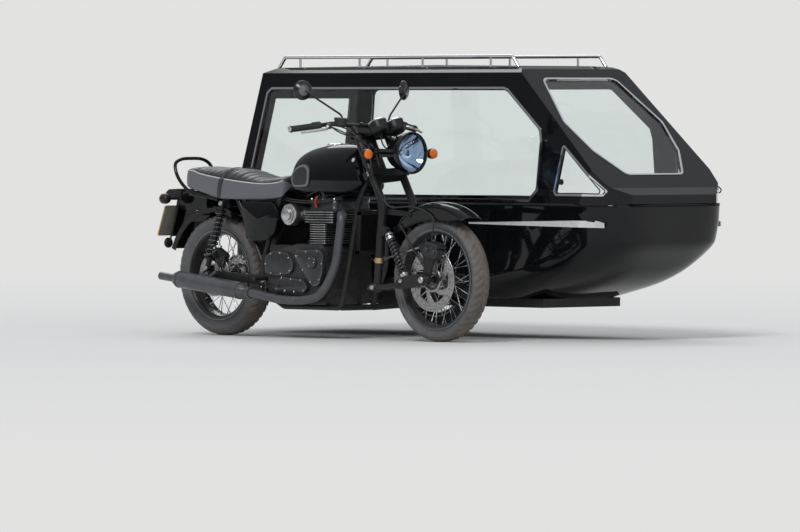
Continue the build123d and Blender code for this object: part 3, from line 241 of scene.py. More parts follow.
class Skin:
    """Points and faces of one piece, gathered grid by grid."""

    def __init__(self):
        self.points = []
        self.faces = []
        self.marks = []
        self.count = 0

    def grid(self, points, wrap_u=False, wrap_v=True, caps=False, mark=0.0, keep=None):
        """Quads over a grid of points, joined round where it wraps; its two open rows can be closed by fans,
        and keep leaves out the quads where it is false."""
        nu, nv, _ = points.shape
        index = np.arange(nu * nv).reshape(nu, nv) + self.count
        rows = np.vstack([index, index[:1]]) if wrap_u else index
        full = np.hstack([rows, rows[:, :1]]) if wrap_v else rows
        quads = np.stack([full[:-1, :-1], full[1:, :-1], full[1:, 1:], full[:-1, 1:]], axis=-1)
        quads = quads.reshape(-1, 4) if keep is None else quads[keep]
        self.faces += quads.tolist()
        self.points.append(points.reshape(-1, 3))
        marks = np.broadcast_to(np.asarray(mark, float), (nu, nv))
        self.marks.append(marks.reshape(-1))
        self.count += nu * nv
        if caps:
            for row in (0, nu - 1):
                self.points.append(points[row].mean(axis=0)[None])
                self.marks.append(marks[row, :1])
                edge = index[row]
                fan = np.stack([np.full(nv, self.count), edge, np.roll(edge, -1)], axis=1)
                self.faces += (fan if row else fan[:, ::-1]).tolist()
                self.count += 1
        return self

    def tube(self, path, radius, sides=14, closed=False):
        """Round tube along a path, its ends closed."""
        points = piped(np.asarray(path, float), radius, sides, closed)
        return self.grid(points, wrap_u=closed, caps=not closed)

    def lathe(self, profile, centre, axis, count=40, mark=0.0):
        """Turned shape whose first and last points lie on its axis or close its section."""
        p = np.asarray(profile, float)
        shut = p[0][0] > 1e-6 and p[-1][0] > 1e-6
        marks = np.asarray(mark, float)
        marks = marks[:, None] if marks.ndim == 1 else marks
        return self.grid(turned(p, centre, axis, count), wrap_u=bool(shut), mark=marks)

    def rods(self, starts, ends, radius):
        """Straight six-sided rods between pairs of points."""
        for a, b in zip(starts, ends):
            self.grid(piped(np.array([a, b], float), radius, 6), caps=True)
        return self

    def bolt(self, centre, axis, radius, height, socket=True):
        """Hexagon head on a washer, or a round head with a socket, standing on a face, marked as bright."""
        r, h = radius, height
        if socket:
            shape = [(0, -1), (r, -1), (r, h - 1), (r - 1, h), (0.55 * r, h), (0.5 * r, 0.4 * h), (0, 0.4 * h)]
            return self.lathe(shape, centre, axis, 16, mark=1.0)
        self.lathe([(0, -1), (1.35 * r, -1), (1.35 * r, 1.2), (0, 1.2)], centre, axis, 24, mark=1.0)
        return self.lathe([(0, 0), (r, 0), (r, h - 1), (0.86 * r, h), (0, h)], centre, axis, 6, mark=1.0)

    def box(self, centre, size):
        """Block: six faces from its eight corners, centre plus or minus half its size."""
        signs = np.array([[x, y, z] for x in (-1, 1) for y in (-1, 1) for z in (-1, 1)])
        self.points.append(np.asarray(centre, float) + signs / 2 * np.asarray(size, float))
        self.marks.append(np.zeros(8))
        n = self.count
        for f in ((0, 1, 3, 2), (4, 6, 7, 5), (0, 4, 5, 1), (2, 3, 7, 6), (0, 2, 6, 4), (1, 5, 7, 3)):
            self.faces.append([n + k for k in f])
        self.count += 8
        return self

    def plate(self, line, y0, y1):
        """Flat plate between two offsets: P = middle + s * (outline - middle), with s from 0 to 1 over one
        face and back to 0 over the other. The outline is a side view."""
        line = np.asarray(line, float)
        mid = line.mean(axis=0)
        rows = []
        for s, y in ((0, y0), (0.6, y0), (1, y0), (1, y1), (0.6, y1), (0, y1)):
            p = mid + s * (line - mid)
            rows.append(np.stack([p[:, 0], np.full(len(p), y), p[:, 1]], axis=1))
        return self.grid(np.array(rows))

    def pad(self, line, face, side, edge, rise, power=2.2, rows=16, sink=2.0, mark=None, lie=None):
        """Domed cover over a side-view outline: with s from 1 at its edge to 0 at its middle, P = middle
        + s * (outline - middle), standing off its face by edge + rise * (1 - s ** power). lie gives the face's
        height over the outline where it isn't flat, and mark the mark for each s."""
        line = np.asarray(line, float)
        mid = line.mean(axis=0)
        s = np.concatenate([[1.0, 1.0, 0.994, 0.98], np.linspace(0.955, 0, rows)])
        off = np.concatenate([[-sink, edge * 0.55, edge * 0.85, edge], edge + 0 * s[4:]])
        off = off + np.where(s < 0.99, rise * (1 - s ** power) - rise * (1 - 0.98 ** power), 0)
        p = mid + s[:, None, None] * (line - mid)[None]
        base = face if lie is None else lie(p[..., 0], p[..., 1])
        y = side * (base + off[:, None] + 0 * p[..., 0])
        points = np.stack([p[..., 0], y, p[..., 1]], axis=-1)
        back = mid + 0.5 * (p[0] - mid)
        rear = np.stack([back[:, 0], points[0, :, 1], back[:, 1]], axis=-1)
        hub = np.broadcast_to(rear.mean(axis=0), rear.shape)
        points = np.concatenate([hub[None], rear[None], points])
        marks = 0.0 if mark is None else np.concatenate([[0, 0], mark(s)])[:, None]
        return self.grid(points, mark=marks)

    def piece(self, name, slot, body, finish=None, merge=1e-3, smooth=40, bevel=0.0, solid=0.0, nodes=()):
        """Makes the object in the frame's metres, faces turned outwards, with its finish, or the slot's finish
        when none is given, and its body. Edges sharper than smooth, in degrees, stay sharp, and nodes are the
        CAD nodes that it stands for."""
        p = (np.concatenate(self.points) - ORIGIN) / 1000
        mesh = bpy.data.meshes.new(name)
        mesh.from_pydata(p.tolist(), [], self.faces)
        mark = mesh.attributes.new("mark", "FLOAT", "POINT")
        mark.data.foreach_set("value", np.concatenate(self.marks).astype(np.float32))
        work = bmesh.new()
        work.from_mesh(mesh)
        bmesh.ops.remove_doubles(work, verts=work.verts, dist=merge / 1000)
        bmesh.ops.recalc_face_normals(work, faces=work.faces)
        work.to_mesh(mesh)
        work.free()
        mesh.polygons.foreach_set("use_smooth", np.ones(len(mesh.polygons), bool))
        mesh.set_sharp_from_angle(angle=np.radians(smooth))
        obj = bpy.data.objects.new(name, mesh)
        bpy.context.scene.collection.objects.link(obj)
        mesh.materials.append(material(finish or slot))
        if solid:
            thick = obj.modifiers.new("thick", "SOLIDIFY")
            thick.thickness = solid / 1000
            thick.offset = 0
        if bevel:
            edge = obj.modifiers.new("edge", "BEVEL")
            edge.width = bevel / 1000
            edge.segments = 2
            edge.limit_method = "ANGLE"
            edge.angle_limit = np.radians(35)
        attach(obj, body)
        if nodes:
            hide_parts(*nodes)
        return obj


# Finishes

class Look:
    """A new material with its main shader, and short ways to add, join and set what feeds it."""

    def __init__(self, name):
        self.mat = bpy.data.materials.new(name)
        self.mat.use_nodes = True
        self.tree = self.mat.node_tree
        self.shader = self.tree.nodes["Principled BSDF"]

    def add(self, kind, **values):
        """New node, with its settings or the values of its inputs by name."""
        node = self.tree.nodes.new("ShaderNode" + kind)
        for key, value in values.items():
            if hasattr(node, key):
                setattr(node, key, value)
            else:
                node.inputs[key.replace("_", " ")].default_value = value
        return node

    def join(self, source, target):
        """Link between two sockets; a name stands for the main shader's input."""
        self.tree.links.new(source, self.shader.inputs[target] if isinstance(target, str) else target)

    def set(self, name, value):
        """Uniform value on the main shader's own input."""
        self.shader.inputs[name].default_value = value

    def noise(self, scale, detail=4.0, stretch=(1, 1, 1)):
        """Noise over Object coordinates, in metres."""
        where = self.add("TexCoord")
        turn = self.add("Mapping", Scale=stretch)
        self.join(where.outputs["Object"], turn.inputs["Vector"])
        speck = self.add("TexNoise", Scale=scale, Detail=detail, Roughness=0.6)
        self.join(turn.outputs["Vector"], speck.inputs["Vector"])
        return speck.outputs["Fac"]

    def spread(self, source, low, high, start=0.3, end=0.7):
        """A value carried from one range to another."""
        change = self.add("MapRange", From_Min=start, From_Max=end, To_Min=low, To_Max=high)
        self.join(source, change.inputs["Value"])
        return change.outputs["Result"]

    def mixed(self, factor, one, two):
        """Colour between two, by a factor; each is a colour or a socket."""
        mix = self.add("Mix", data_type="RGBA")
        self.join(factor, mix.inputs["Factor"])
        ends = [s for s in mix.inputs if s.type == "RGBA"]
        for socket, value in zip(ends, (one, two)):
            if isinstance(value, bpy.types.NodeSocket):
                self.join(value, socket)
            else:
                socket.default_value = (*value, 1)
        return [s for s in mix.outputs if s.type == "RGBA"][0]

    def blended(self, factor, one, two):
        """Value between two, by a factor; one is a socket or a number, two a number."""
        mix = self.add("Mix", data_type="FLOAT")
        self.join(factor, mix.inputs["Factor"])
        if isinstance(one, bpy.types.NodeSocket):
            self.join(one, mix.inputs["A"])
        else:
            mix.inputs["A"].default_value = one
        mix.inputs["B"].default_value = two
        return mix.outputs["Result"]

    def dusted(self, colour, dust, amount):
        """Road dust over a colour, most near the ground and broken up by noise."""
        where = self.add("TexCoord")
        split = self.add("SeparateXYZ")
        self.join(where.outputs["Object"], split.inputs["Vector"])
        low = self.spread(split.outputs["Z"], amount, 0.0, 0.0, 0.65)
        patch = self.spread(self.noise(9.0, 6.0), 0.35, 1.0, 0.35, 0.65)
        both = self.add("Math", operation="MULTIPLY")
        self.join(low, both.inputs[0])
        self.join(patch, both.inputs[1])
        return self.mixed(both.outputs["Value"], colour, dust)

    def relief(self, height, strength, depth):
        """Fine bump from a height."""
        bump = self.add("Bump", Strength=strength, Distance=depth)
        self.join(height, bump.inputs["Height"])
        self.join(bump.outputs["Normal"], "Normal")


def solid_finish(name, colour, shade, grain, rough, metal=0.0, bump=None, coat=0.0, dust=0.0, marked=None,
                 shine=0.5):
    """Opaque finish: two close colours broken by noise, roughness by a wider noise, fine bump by a third,
    road dust towards the ground, and a second colour, roughness and metal where the mark is one."""
    look = Look(name)
    tint = look.mixed(look.spread(look.noise(grain, 5.0), 0, 1), colour, shade)
    if dust:
        tint = look.dusted(tint, (0.17, 0.15, 0.13), dust)
    gloss = look.spread(look.noise(max(2.0, grain * 0.3), 6.0), *rough)
    if marked:
        mark = look.add("Attribute", attribute_name="mark").outputs["Fac"]
        tint = look.mixed(mark, tint, marked[0])
        gloss = look.blended(mark, gloss, marked[1])
        look.join(look.blended(mark, metal, marked[2]), "Metallic")
    else:
        look.set("Metallic", metal)
    look.join(tint, "Base Color")
    look.join(gloss, "Roughness")
    look.set("Specular IOR Level", shine)
    if coat:
        look.set("Coat Weight", coat)
        look.set("Coat Roughness", 0.03)
    if bump:
        look.relief(look.noise(bump[0], 3.0), bump[1], bump[2])
    return look.mat


def clear_finish(name, colour, rough, scratch, ior=1.45):
    """Clear pane: full transmission, with faint wiping marks in its roughness."""
    look = Look(name)
    marks = look.noise(scratch, 8.0, (1, 1, 6))
    look.join(look.spread(marks, *rough, 0.6, 0.9), "Roughness")
    haze = look.spread(look.noise(scratch * 0.4, 4.0), 0, 1)
    look.join(look.mixed(haze, colour, tuple(0.985 * c for c in colour)), "Base Color")
    look.set("Transmission Weight", 1.0)
    look.set("IOR", ior)
    return look.mat


def vinyl_finish(name, colour, shade, marked=None):
    """Coated cloth with a leather grain: small cells in the bump, softly broken sheen, and a paler colour where
    marked, which is painted sheen.
    """
    look = Look(name)
    tint = look.mixed(look.spread(look.noise(30.0, 5.0), 0, 1), colour, shade)
    if marked:
        mark = look.add("Attribute", attribute_name="mark").outputs["Fac"]
        # painted sheen: where the mark is one (the seat's sides), the paler colour stands in for the light the
        # vinyl catches
        tint = look.mixed(mark, tint, marked)
    look.join(tint, "Base Color")
    look.join(look.spread(look.noise(14.0, 5.0), 0.34, 0.5), "Roughness")
    where = look.add("TexCoord")
    cells = look.add("TexVoronoi", Scale=620.0)
    look.join(where.outputs["Object"], cells.inputs["Vector"])
    look.relief(cells.outputs["Distance"], 0.35, 0.0006)
    look.set("Sheen Weight", 0.35)
    look.set("Sheen Roughness", 0.4)
    return look.mat


def tyre_finish(name):
    """Tyre rubber: dusty where the mark says tread, greyer on the walls."""
    look = Look(name)
    mark = look.add("Attribute", attribute_name="mark").outputs["Fac"]
    patch = look.noise(24.0, 6.0)
    wall = look.mixed(look.spread(patch, 0, 1), (0.085, 0.086, 0.09), (0.13, 0.131, 0.135))
    tread = look.mixed(look.spread(patch, 0, 1), (0.085, 0.077, 0.07), (0.16, 0.142, 0.124))
    look.join(look.mixed(mark, wall, tread), "Base Color")
    look.join(look.spread(patch, 0.5, 0.75), "Roughness")
    look.relief(look.noise(500.0, 3.0), 0.3, 0.0005)
    return look.mat


def wood_finish(name):
    """Varnished boards: long grain along X."""
    look = Look(name)
    grain = look.noise(30.0, 8.0, (0.12, 1, 1))
    look.join(look.mixed(look.spread(grain, 0, 1), (0.1, 0.05, 0.025), (0.2, 0.11, 0.055)), "Base Color")
    look.join(look.spread(grain, 0.18, 0.3), "Roughness")
    look.relief(grain, 0.2, 0.0008)
    look.set("Coat Weight", 0.6)
    look.set("Coat Roughness", 0.08)
    return look.mat


def solid(*look, **more):
    """An opaque finish, made when a piece first asks for it."""
    return lambda name: solid_finish(name, *look, **more)


def clear(*look):
    """A clear finish, made when a piece first asks for it."""
    return lambda name: clear_finish(name, *look)


def vinyl(*look):
    """A coated cloth, made when a piece first asks for it."""
    return lambda name: vinyl_finish(name, *look)


GLOSS = dict(grain=6.0, rough=(0.03, 0.07), shine=0.3, dust=0.03)
SATIN = dict(grain=20.0, rough=(0.3, 0.42), bump=(900.0, 0.12, 0.0004), dust=0.1, shine=0.35)
COVER = dict(colour=(0.03, 0.032, 0.036), shade=(0.05, 0.053, 0.058), grain=22.0, rough=(0.26, 0.38), metal=0.4,
             bump=(900.0, 0.1, 0.0004), dust=0.15)
WHEEL = dict(colour=(0.012, 0.012, 0.013), shade=(0.022, 0.022, 0.024), grain=30.0, rough=(0.2, 0.34), dust=0.2)
FINISHES = {
    "gloss_black": solid((0.003, 0.0034, 0.0044), (0.005, 0.0056, 0.007), **GLOSS),
    "satin_black": solid((0.008, 0.008, 0.009), (0.016, 0.016, 0.017), **SATIN),
    "exhaust_black": solid((0.052, 0.056, 0.064), (0.078, 0.083, 0.092), 18.0, (0.24, 0.36),
                           bump=(1100.0, 0.1, 0.0004), dust=0.2),
    "engine_grey": solid((0.022, 0.023, 0.025), (0.04, 0.041, 0.044), 26.0, (0.33, 0.48), metal=0.3,
                         bump=(700.0, 0.2, 0.0005), dust=0.25),
    "cover_grey": solid(**COVER, marked=((0.5, 0.5, 0.5), 0.25, 1.0)),
    "caliper_grey": solid(**COVER),
    # wheel_black's marked colour, grey metal on the rims' rolled edges, is a painted highlight
    "wheel_black": solid(**WHEEL, marked=((0.2, 0.205, 0.215), 0.22, 1.0)),
    "hub_black": solid(**WHEEL),
    "spring_black": solid((0.02, 0.021, 0.024), (0.03, 0.031, 0.035), 30.0, (0.12, 0.2), coat=1.0),
    "mirror_back": solid((0.01, 0.01, 0.011), (0.018, 0.018, 0.019), 30.0, (0.15, 0.25),
                         marked=((0.16, 0.165, 0.17), 0.3, 0.6)),
    "steel": solid((0.36, 0.36, 0.35), (0.5, 0.5, 0.49), 60.0, (0.22, 0.4), metal=1.0,
                   bump=(1500.0, 0.1, 0.0003)),
    "alloy": solid((0.5, 0.5, 0.5), (0.62, 0.62, 0.61), 40.0, (0.26, 0.4), metal=1.0,
                   bump=(1200.0, 0.1, 0.0003)),
    "brass": solid((0.55, 0.4, 0.22), (0.66, 0.5, 0.3), 50.0, (0.25, 0.4), metal=1.0),
    "chrome": solid((0.72, 0.73, 0.75), (0.8, 0.81, 0.83), 12.0, (0.04, 0.12), metal=1.0),
    "rubber": solid((0.014, 0.014, 0.015), (0.026, 0.026, 0.027), 60.0, (0.5, 0.7),
                    bump=(1400.0, 0.3, 0.0004)),
    "pad_rubber": solid((0.016, 0.017, 0.018), (0.028, 0.029, 0.031), 60.0, (0.45, 0.6),
                        bump=(1400.0, 0.3, 0.0004), marked=((0.16, 0.17, 0.17), 0.5, 0.0)),
    "amber": solid((0.75, 0.14, 0.01), (0.9, 0.22, 0.015), 90.0, (0.08, 0.16), coat=0.6),
    "red": solid((0.32, 0.006, 0.006), (0.45, 0.012, 0.01), 90.0, (0.08, 0.16), coat=0.6),
    "plate_yellow": solid((0.68, 0.45, 0.05), (0.74, 0.52, 0.08), 20.0, (0.3, 0.42)),
    "plate_back": solid((0.2, 0.187, 0.165), (0.27, 0.255, 0.225), 14.0, (0.5, 0.7)),
    "strip_white": solid((0.62, 0.62, 0.63), (0.72, 0.72, 0.72), 30.0, (0.15, 0.22), coat=0.5),
    "dial": solid((0.012, 0.012, 0.012), (0.02, 0.02, 0.02), 40.0, (0.4, 0.5),
                  marked=((0.7, 0.7, 0.68), 0.4, 0.0)),
    "lead_red": solid((0.3, 0.015, 0.012), (0.42, 0.03, 0.02), 50.0, (0.35, 0.5)),
    "deck_wood": wood_finish,
    "tyre": tyre_finish,
    "glass": clear((0.93, 0.975, 0.965), (0.0, 0.05), 26.0, 1.3),
    "lamp_glass": clear((0.6, 0.72, 0.86), (0.0, 0.04), 40.0),
    # seat_vinyl's third colour, paler grey-blue for the seat's sides, is painted sheen
    "seat_vinyl": vinyl((0.015, 0.017, 0.024), (0.026, 0.028, 0.036), (0.12, 0.125, 0.145)),
    "piping": vinyl((0.5, 0.5, 0.49), (0.62, 0.62, 0.6)),
}
made = {}


def material(name):
    """The finish of that name, made once."""
    if name not in made:
        made[name] = FINISHES[name](name)
    return made[name]


# Settings

class StageSettings(PropertyGroup):
    floor: FloatVectorProperty(name="Floor", description="Floor colour", subtype="COLOR",
                               default=(0.78, 0.78, 0.77))
    sky: FloatProperty(name="Sky", description="Strength of the light from above", default=0.75, min=0)
    key: FloatProperty(name="Key lamp", description="Strength of the main soft sun", default=1.25, min=0)


class WheelSettings(PropertyGroup):
    grooves: IntProperty(name="Grooves", description="Tread grooves round the tyre", default=46, min=8)
    depth: FloatProperty(name="Groove depth", description="Depth of the tread, in millimetres", default=4.0,
                         min=0)
    spokes: IntProperty(name="Spokes", description="Spokes in each wheel", default=36, min=12)


class SeatSettings(PropertyGroup):
    ribs: IntProperty(name="Ribs", description="Sewn ribs across the seat", default=15, min=2)
    rise: FloatProperty(name="Rib rise", description="How far a rib stands up, in millimetres", default=6.0,
                        min=0)


class SpringSettings(PropertyGroup):
    turns: FloatProperty(name="Turns", description="Turns of wire in each spring", default=10.0, min=2)
    wire: FloatProperty(name="Wire", description="Radius of the spring wire, in millimetres", default=4.6,
                        min=1)


class OutfitSettings(PropertyGroup):
    stage: PointerProperty(type=StageSettings)
    wheel: PointerProperty(type=WheelSettings)
    seat: PointerProperty(type=SeatSettings)
    spring: PointerProperty(type=SpringSettings)


def aimed(place, target):
    """Matrix of a lamp or camera at a place, looking at a target, level from side to side."""
    look = unit(target - place)
    side = unit(np.cross(look, vec(0, 0, 1)))
    top = np.cross(side, look)
    turn = np.eye(4)
    turn[:3, 0], turn[:3, 1], turn[:3, 2], turn[:3, 3] = side, top, -look, place
    return Matrix(turn.tolist())


class OUTFIT_OT_stage(Operator):
    """Floor, camera, sky and soft lamps"""

    bl_idname = "outfit.stage"
    bl_label = "Stage"

    def execute(self, context):
        s = context.scene.outfit.stage
        scene = context.scene
        scene.view_settings.view_transform = "Standard"
        self.floor(scene, tuple(s.floor))
        self.sky(scene, s)
        self.lamps(scene, s)
        eye = bpy.data.cameras.new("camera")
        eye.lens = CAMERA_LENS
        eye.clip_end = 4000
        camera = bpy.data.objects.new("camera", eye)
        scene.collection.objects.link(camera)
        camera.matrix_world = aimed(vec(*CAMERA_AT), vec(*CAMERA_AIM))
        scene.camera = camera
        return {"FINISHED"}

    def floor(self, scene, tint):
        """Disc of 2 km that takes the background's own plain colour from 10 m out, so that no edge shows."""
        edge = np.column_stack([circle(2000, 96), np.zeros(96)])
        mesh = bpy.data.meshes.new("floor")
        mesh.from_pydata(edge.tolist(), [], [list(range(96))])
        floor = bpy.data.objects.new("floor", mesh)
        scene.collection.objects.link(floor)
        look = Look("floor")
        shade = tuple(0.98 * c for c in tint)
        look.join(look.mixed(look.noise(0.8, 3.0), tint, shade), "Base Color")
        look.set("Roughness", 0.9)
        plain = look.add("Emission", Color=(*BACKDROP, 1))
        where = look.add("TexCoord")
        reach = look.add("VectorMath", operation="LENGTH")
        look.join(where.outputs["Object"], reach.inputs[0])
        mix = look.add("MixShader")
        look.join(look.spread(reach.outputs["Value"], 0, 1, 3.5, 14.0), mix.inputs["Fac"])
        look.join(look.shader.outputs["BSDF"], mix.inputs[1])
        look.join(plain.outputs["Emission"], mix.inputs[2])
        look.join(mix.outputs["Shader"], look.tree.nodes["Material Output"].inputs["Surface"])
        mesh.materials.append(look.mat)

    def sky(self, scene, s):
        """World: a soft sky brighter overhead; the camera and clear panes see a plain pale ground behind."""
        world = bpy.data.worlds.new("sky")
        scene.world = world
        world.use_nodes = True
        tree = world.node_tree
        back = tree.nodes["Background"]
        where = tree.nodes.new("ShaderNodeTexCoord")
        split = tree.nodes.new("ShaderNodeSeparateXYZ")
        tree.links.new(where.outputs["Generated"], split.inputs["Vector"])
        ramp = tree.nodes.new("ShaderNodeValToRGB")
        ramp.color_ramp.elements[0].position = 0.02
        ramp.color_ramp.elements[0].color = (0.2, 0.2, 0.2, 1)
        ramp.color_ramp.elements[1].position = 0.75
        ramp.color_ramp.elements[1].color = (0.74, 0.76, 0.79, 1)
        tree.links.new(split.outputs["Z"], ramp.inputs["Fac"])
        tree.links.new(ramp.outputs["Color"], back.inputs["Color"])
        back.inputs["Strength"].default_value = s.sky
        plain = tree.nodes.new("ShaderNodeBackground")
        plain.inputs["Color"].default_value = (*BACKDROP, 1)
        ray = tree.nodes.new("ShaderNodeLightPath")
        seen = tree.nodes.new("ShaderNodeMath")
        seen.operation = "MAXIMUM"
        tree.links.new(ray.outputs["Is Camera Ray"], seen.inputs[0])
        tree.links.new(ray.outputs["Is Transmission Ray"], seen.inputs[1])
        mix = tree.nodes.new("ShaderNodeMixShader")
        tree.links.new(seen.outputs["Value"], mix.inputs["Fac"])
        tree.links.new(back.outputs["Background"], mix.inputs[1])
        tree.links.new(plain.outputs["Background"], mix.inputs[2])
        tree.links.new(mix.outputs["Shader"], tree.nodes["World Output"].inputs["Surface"])

    def lamps(self, scene, s):
        """Three wide soft suns: one from the near right, one from behind, one low fill."""
        rows = (("key", (3.0, -6.0, 7.0), 18, s.key), ("back", (-5.0, 4.0, 6.0), 30, 0.45 * s.key),
                ("fill", (7.0, -1.0, 2.4), 50, 0.3 * s.key))
        for name, place, angle, power in rows:
            data = bpy.data.lights.new(name, "SUN")
            data.angle = np.radians(angle)
            data.energy = power
            lamp = bpy.data.objects.new(name, data)
            scene.collection.objects.link(lamp)
            lamp.matrix_world = aimed(vec(*place), vec(0, 0, 0.6))


class OUTFIT_OT_finishes(Operator):
    """Gives every CAD node its finish"""

    bl_idname = "outfit.finishes"
    bl_label = "Finishes"

    def execute(self, context):
        for name, node in frame["nodes"].items():
            node.data.materials.clear()
            node.data.materials.append(material(SLOT_OF[name]))
        return {"FINISHED"}


class OUTFIT_OT_tyres(Operator):
    """Tyres with a cut tread and moulded walls"""

    bl_idname = "outfit.tyres"
    bl_label = "Tyres"

    def execute(self, context):
        for tag, w in WHEELS.items():
            self.tyre(tag, w, context.scene.outfit.wheel)
        return {"FINISHED"}

    def tyre(self, tag, w, s):
        """Section line turned about the axle: r = line - depth * cut. The cut is 1 inside the middle groove
        and inside grooves that slant by 1.1 * |across| ** 1.3. A raised ring stands 10 mm out from the rim."""
        seat = w["rim"] - 13.5
        side = w["rim"] + 0.45 * (w["r"] - w["rim"])
        shoulder = w["r"] - 0.3 * w["half"]
        line = spline([(w["rim"] - 1, w["rim_half"] - 0.5), (w["rim"] + 8, w["rim_half"] + 5),
                       (side, w["half"] - 1), (shoulder, 0.88 * w["half"]), (w["r"] - 3.4, 0.5 * w["half"]),
                       (w["r"], 0)], 34)
        half = np.concatenate([[[seat, w["rim_half"] - 0.5]], even(line, 34)])
        profile = np.concatenate([half, (half * vec(1, -1))[-2::-1]])
        reach, y = profile[None, :, 0], profile[None, :, 1]
        turn = ring(s.grooves * 10)[:, None]
        across = np.abs(y / w["half"])
        crown = np.clip((reach - shoulder + 12) / 14, 0, 1)
        slant = turn * s.grooves / TAU + 1.1 * across ** 1.3
        bite = np.clip((0.2 - np.abs((slant % 1) - 0.5)) / 0.05, 0, 1) * (across > 0.18) * crown
        middle = np.clip((0.07 - across) / 0.03, 0, 1)
        cut = np.maximum(bite, middle)
        r = reach - s.depth * cut
        raised = 0.9 * np.exp(-((reach - w["rim"] - 10) / 1.6) ** 2)
        y = y + np.sign(y) * raised + 0 * turn
        points = np.stack([w["x"] + r * np.cos(turn), w["y"] + y, w["r"] + r * np.sin(turn)], axis=-1)
        Skin().grid(points, wrap_u=True, mark=crown * (1 - 0.6 * cut)).piece(
            f"{tag}_tyre_tread", "tyre", w["body"], smooth=50, nodes=(f"{tag}_tyre",))


class OUTFIT_OT_wheels(Operator):
    """Rims with a painted highlight on their edges, crossed spokes with nipples, and hubs"""

    bl_idname = "outfit.wheels"
    bl_label = "Wheels"

    def execute(self, context):
        for tag, w in WHEELS.items():
            at = vec(w["x"], w["y"], w["r"])
            self.rim(tag, w, at)
            self.spokes(tag, w, at, context.scene.outfit.wheel.spokes)
            self.hub(tag, w, at)
        return {"FINISHED"}

    def rim(self, tag, w, at):
        """Turned rim section, the same on both sides of its middle, with its rolled edges marked for a painted
        highlight.
        """
        rim, half = w["rim"], w["rim_half"]
        edge = [(rim - 14, half - 2), (rim - 3, half), (rim + 1, half + 2.4), (rim, half + 4.6),
                (rim - 5, half + 4.8), (rim - 13, half + 4), (rim - 19, half), (rim - 26, 0.62 * half),
                (rim - 31, 0.34 * half)]
        # painted highlight: the rims are black all over, and the grey metal marked on their rolled edges stands
        # in for the light those edges catch
        bright = [0, 0.2, 1, 1, 0.7, 0, 0, 0, 0]
        profile = edge + [(rim - 32, 0)] + [(r, -y) for r, y in reversed(edge)]
        Skin().lathe(profile, at, (0, 1, 0), 144, mark=bright + [0] + bright[::-1]).piece(
            f"{tag}_rim", "wheel_black", w["body"], smooth=60, nodes=(f"{tag}_wheel",))

    def spokes(self, tag, w, at, count):
        """Spokes from the hub's flanges to the rim, each foot turned 55 degrees on or back from its head."""
        k = np.arange(count)
        angle = k * TAU / count
        side = np.where(k % 2, 1, -1)
        foot = angle + np.radians(55) * np.where((k // 2) % 2, 1, -1)
        r0, r1 = w["hub"] + 5, w["rim"] - 30
        a = at + np.stack([r0 * np.cos(foot), side * (w["hub_half"] - 9), r0 * np.sin(foot)], axis=1)
        b = at + np.stack([r1 * np.cos(angle), side * 4, r1 * np.sin(angle)], axis=1)
        wire = Skin().rods(a, b, 2.0)
        wire.rods(b + 0.077 * (a - b), b, 3.4)
        wire.piece(f"{tag}_spokes", "steel", w["body"], finish="chrome", smooth=30)

    def hub(self, tag, w, at):
        """Turned hub: two flanges on a waisted barrel, open for the axle."""
        h, e = w["hub"], w["hub_half"]
        half = [(9.2, -e), (0.55 * h, -e), (0.62 * h, -e + 3), (h + 9, -e + 5), (h + 9, -e + 12), (h, -e + 16),
                (0.8 * h, -0.35 * e)]
        line = half + [(r, -y) for r, y in reversed(half)]
        Skin().lathe(line, at, (0, 1, 0), 48).piece(f"{tag}_hub", "wheel_black", w["body"], finish="hub_black",
                                                    bevel=1.0)


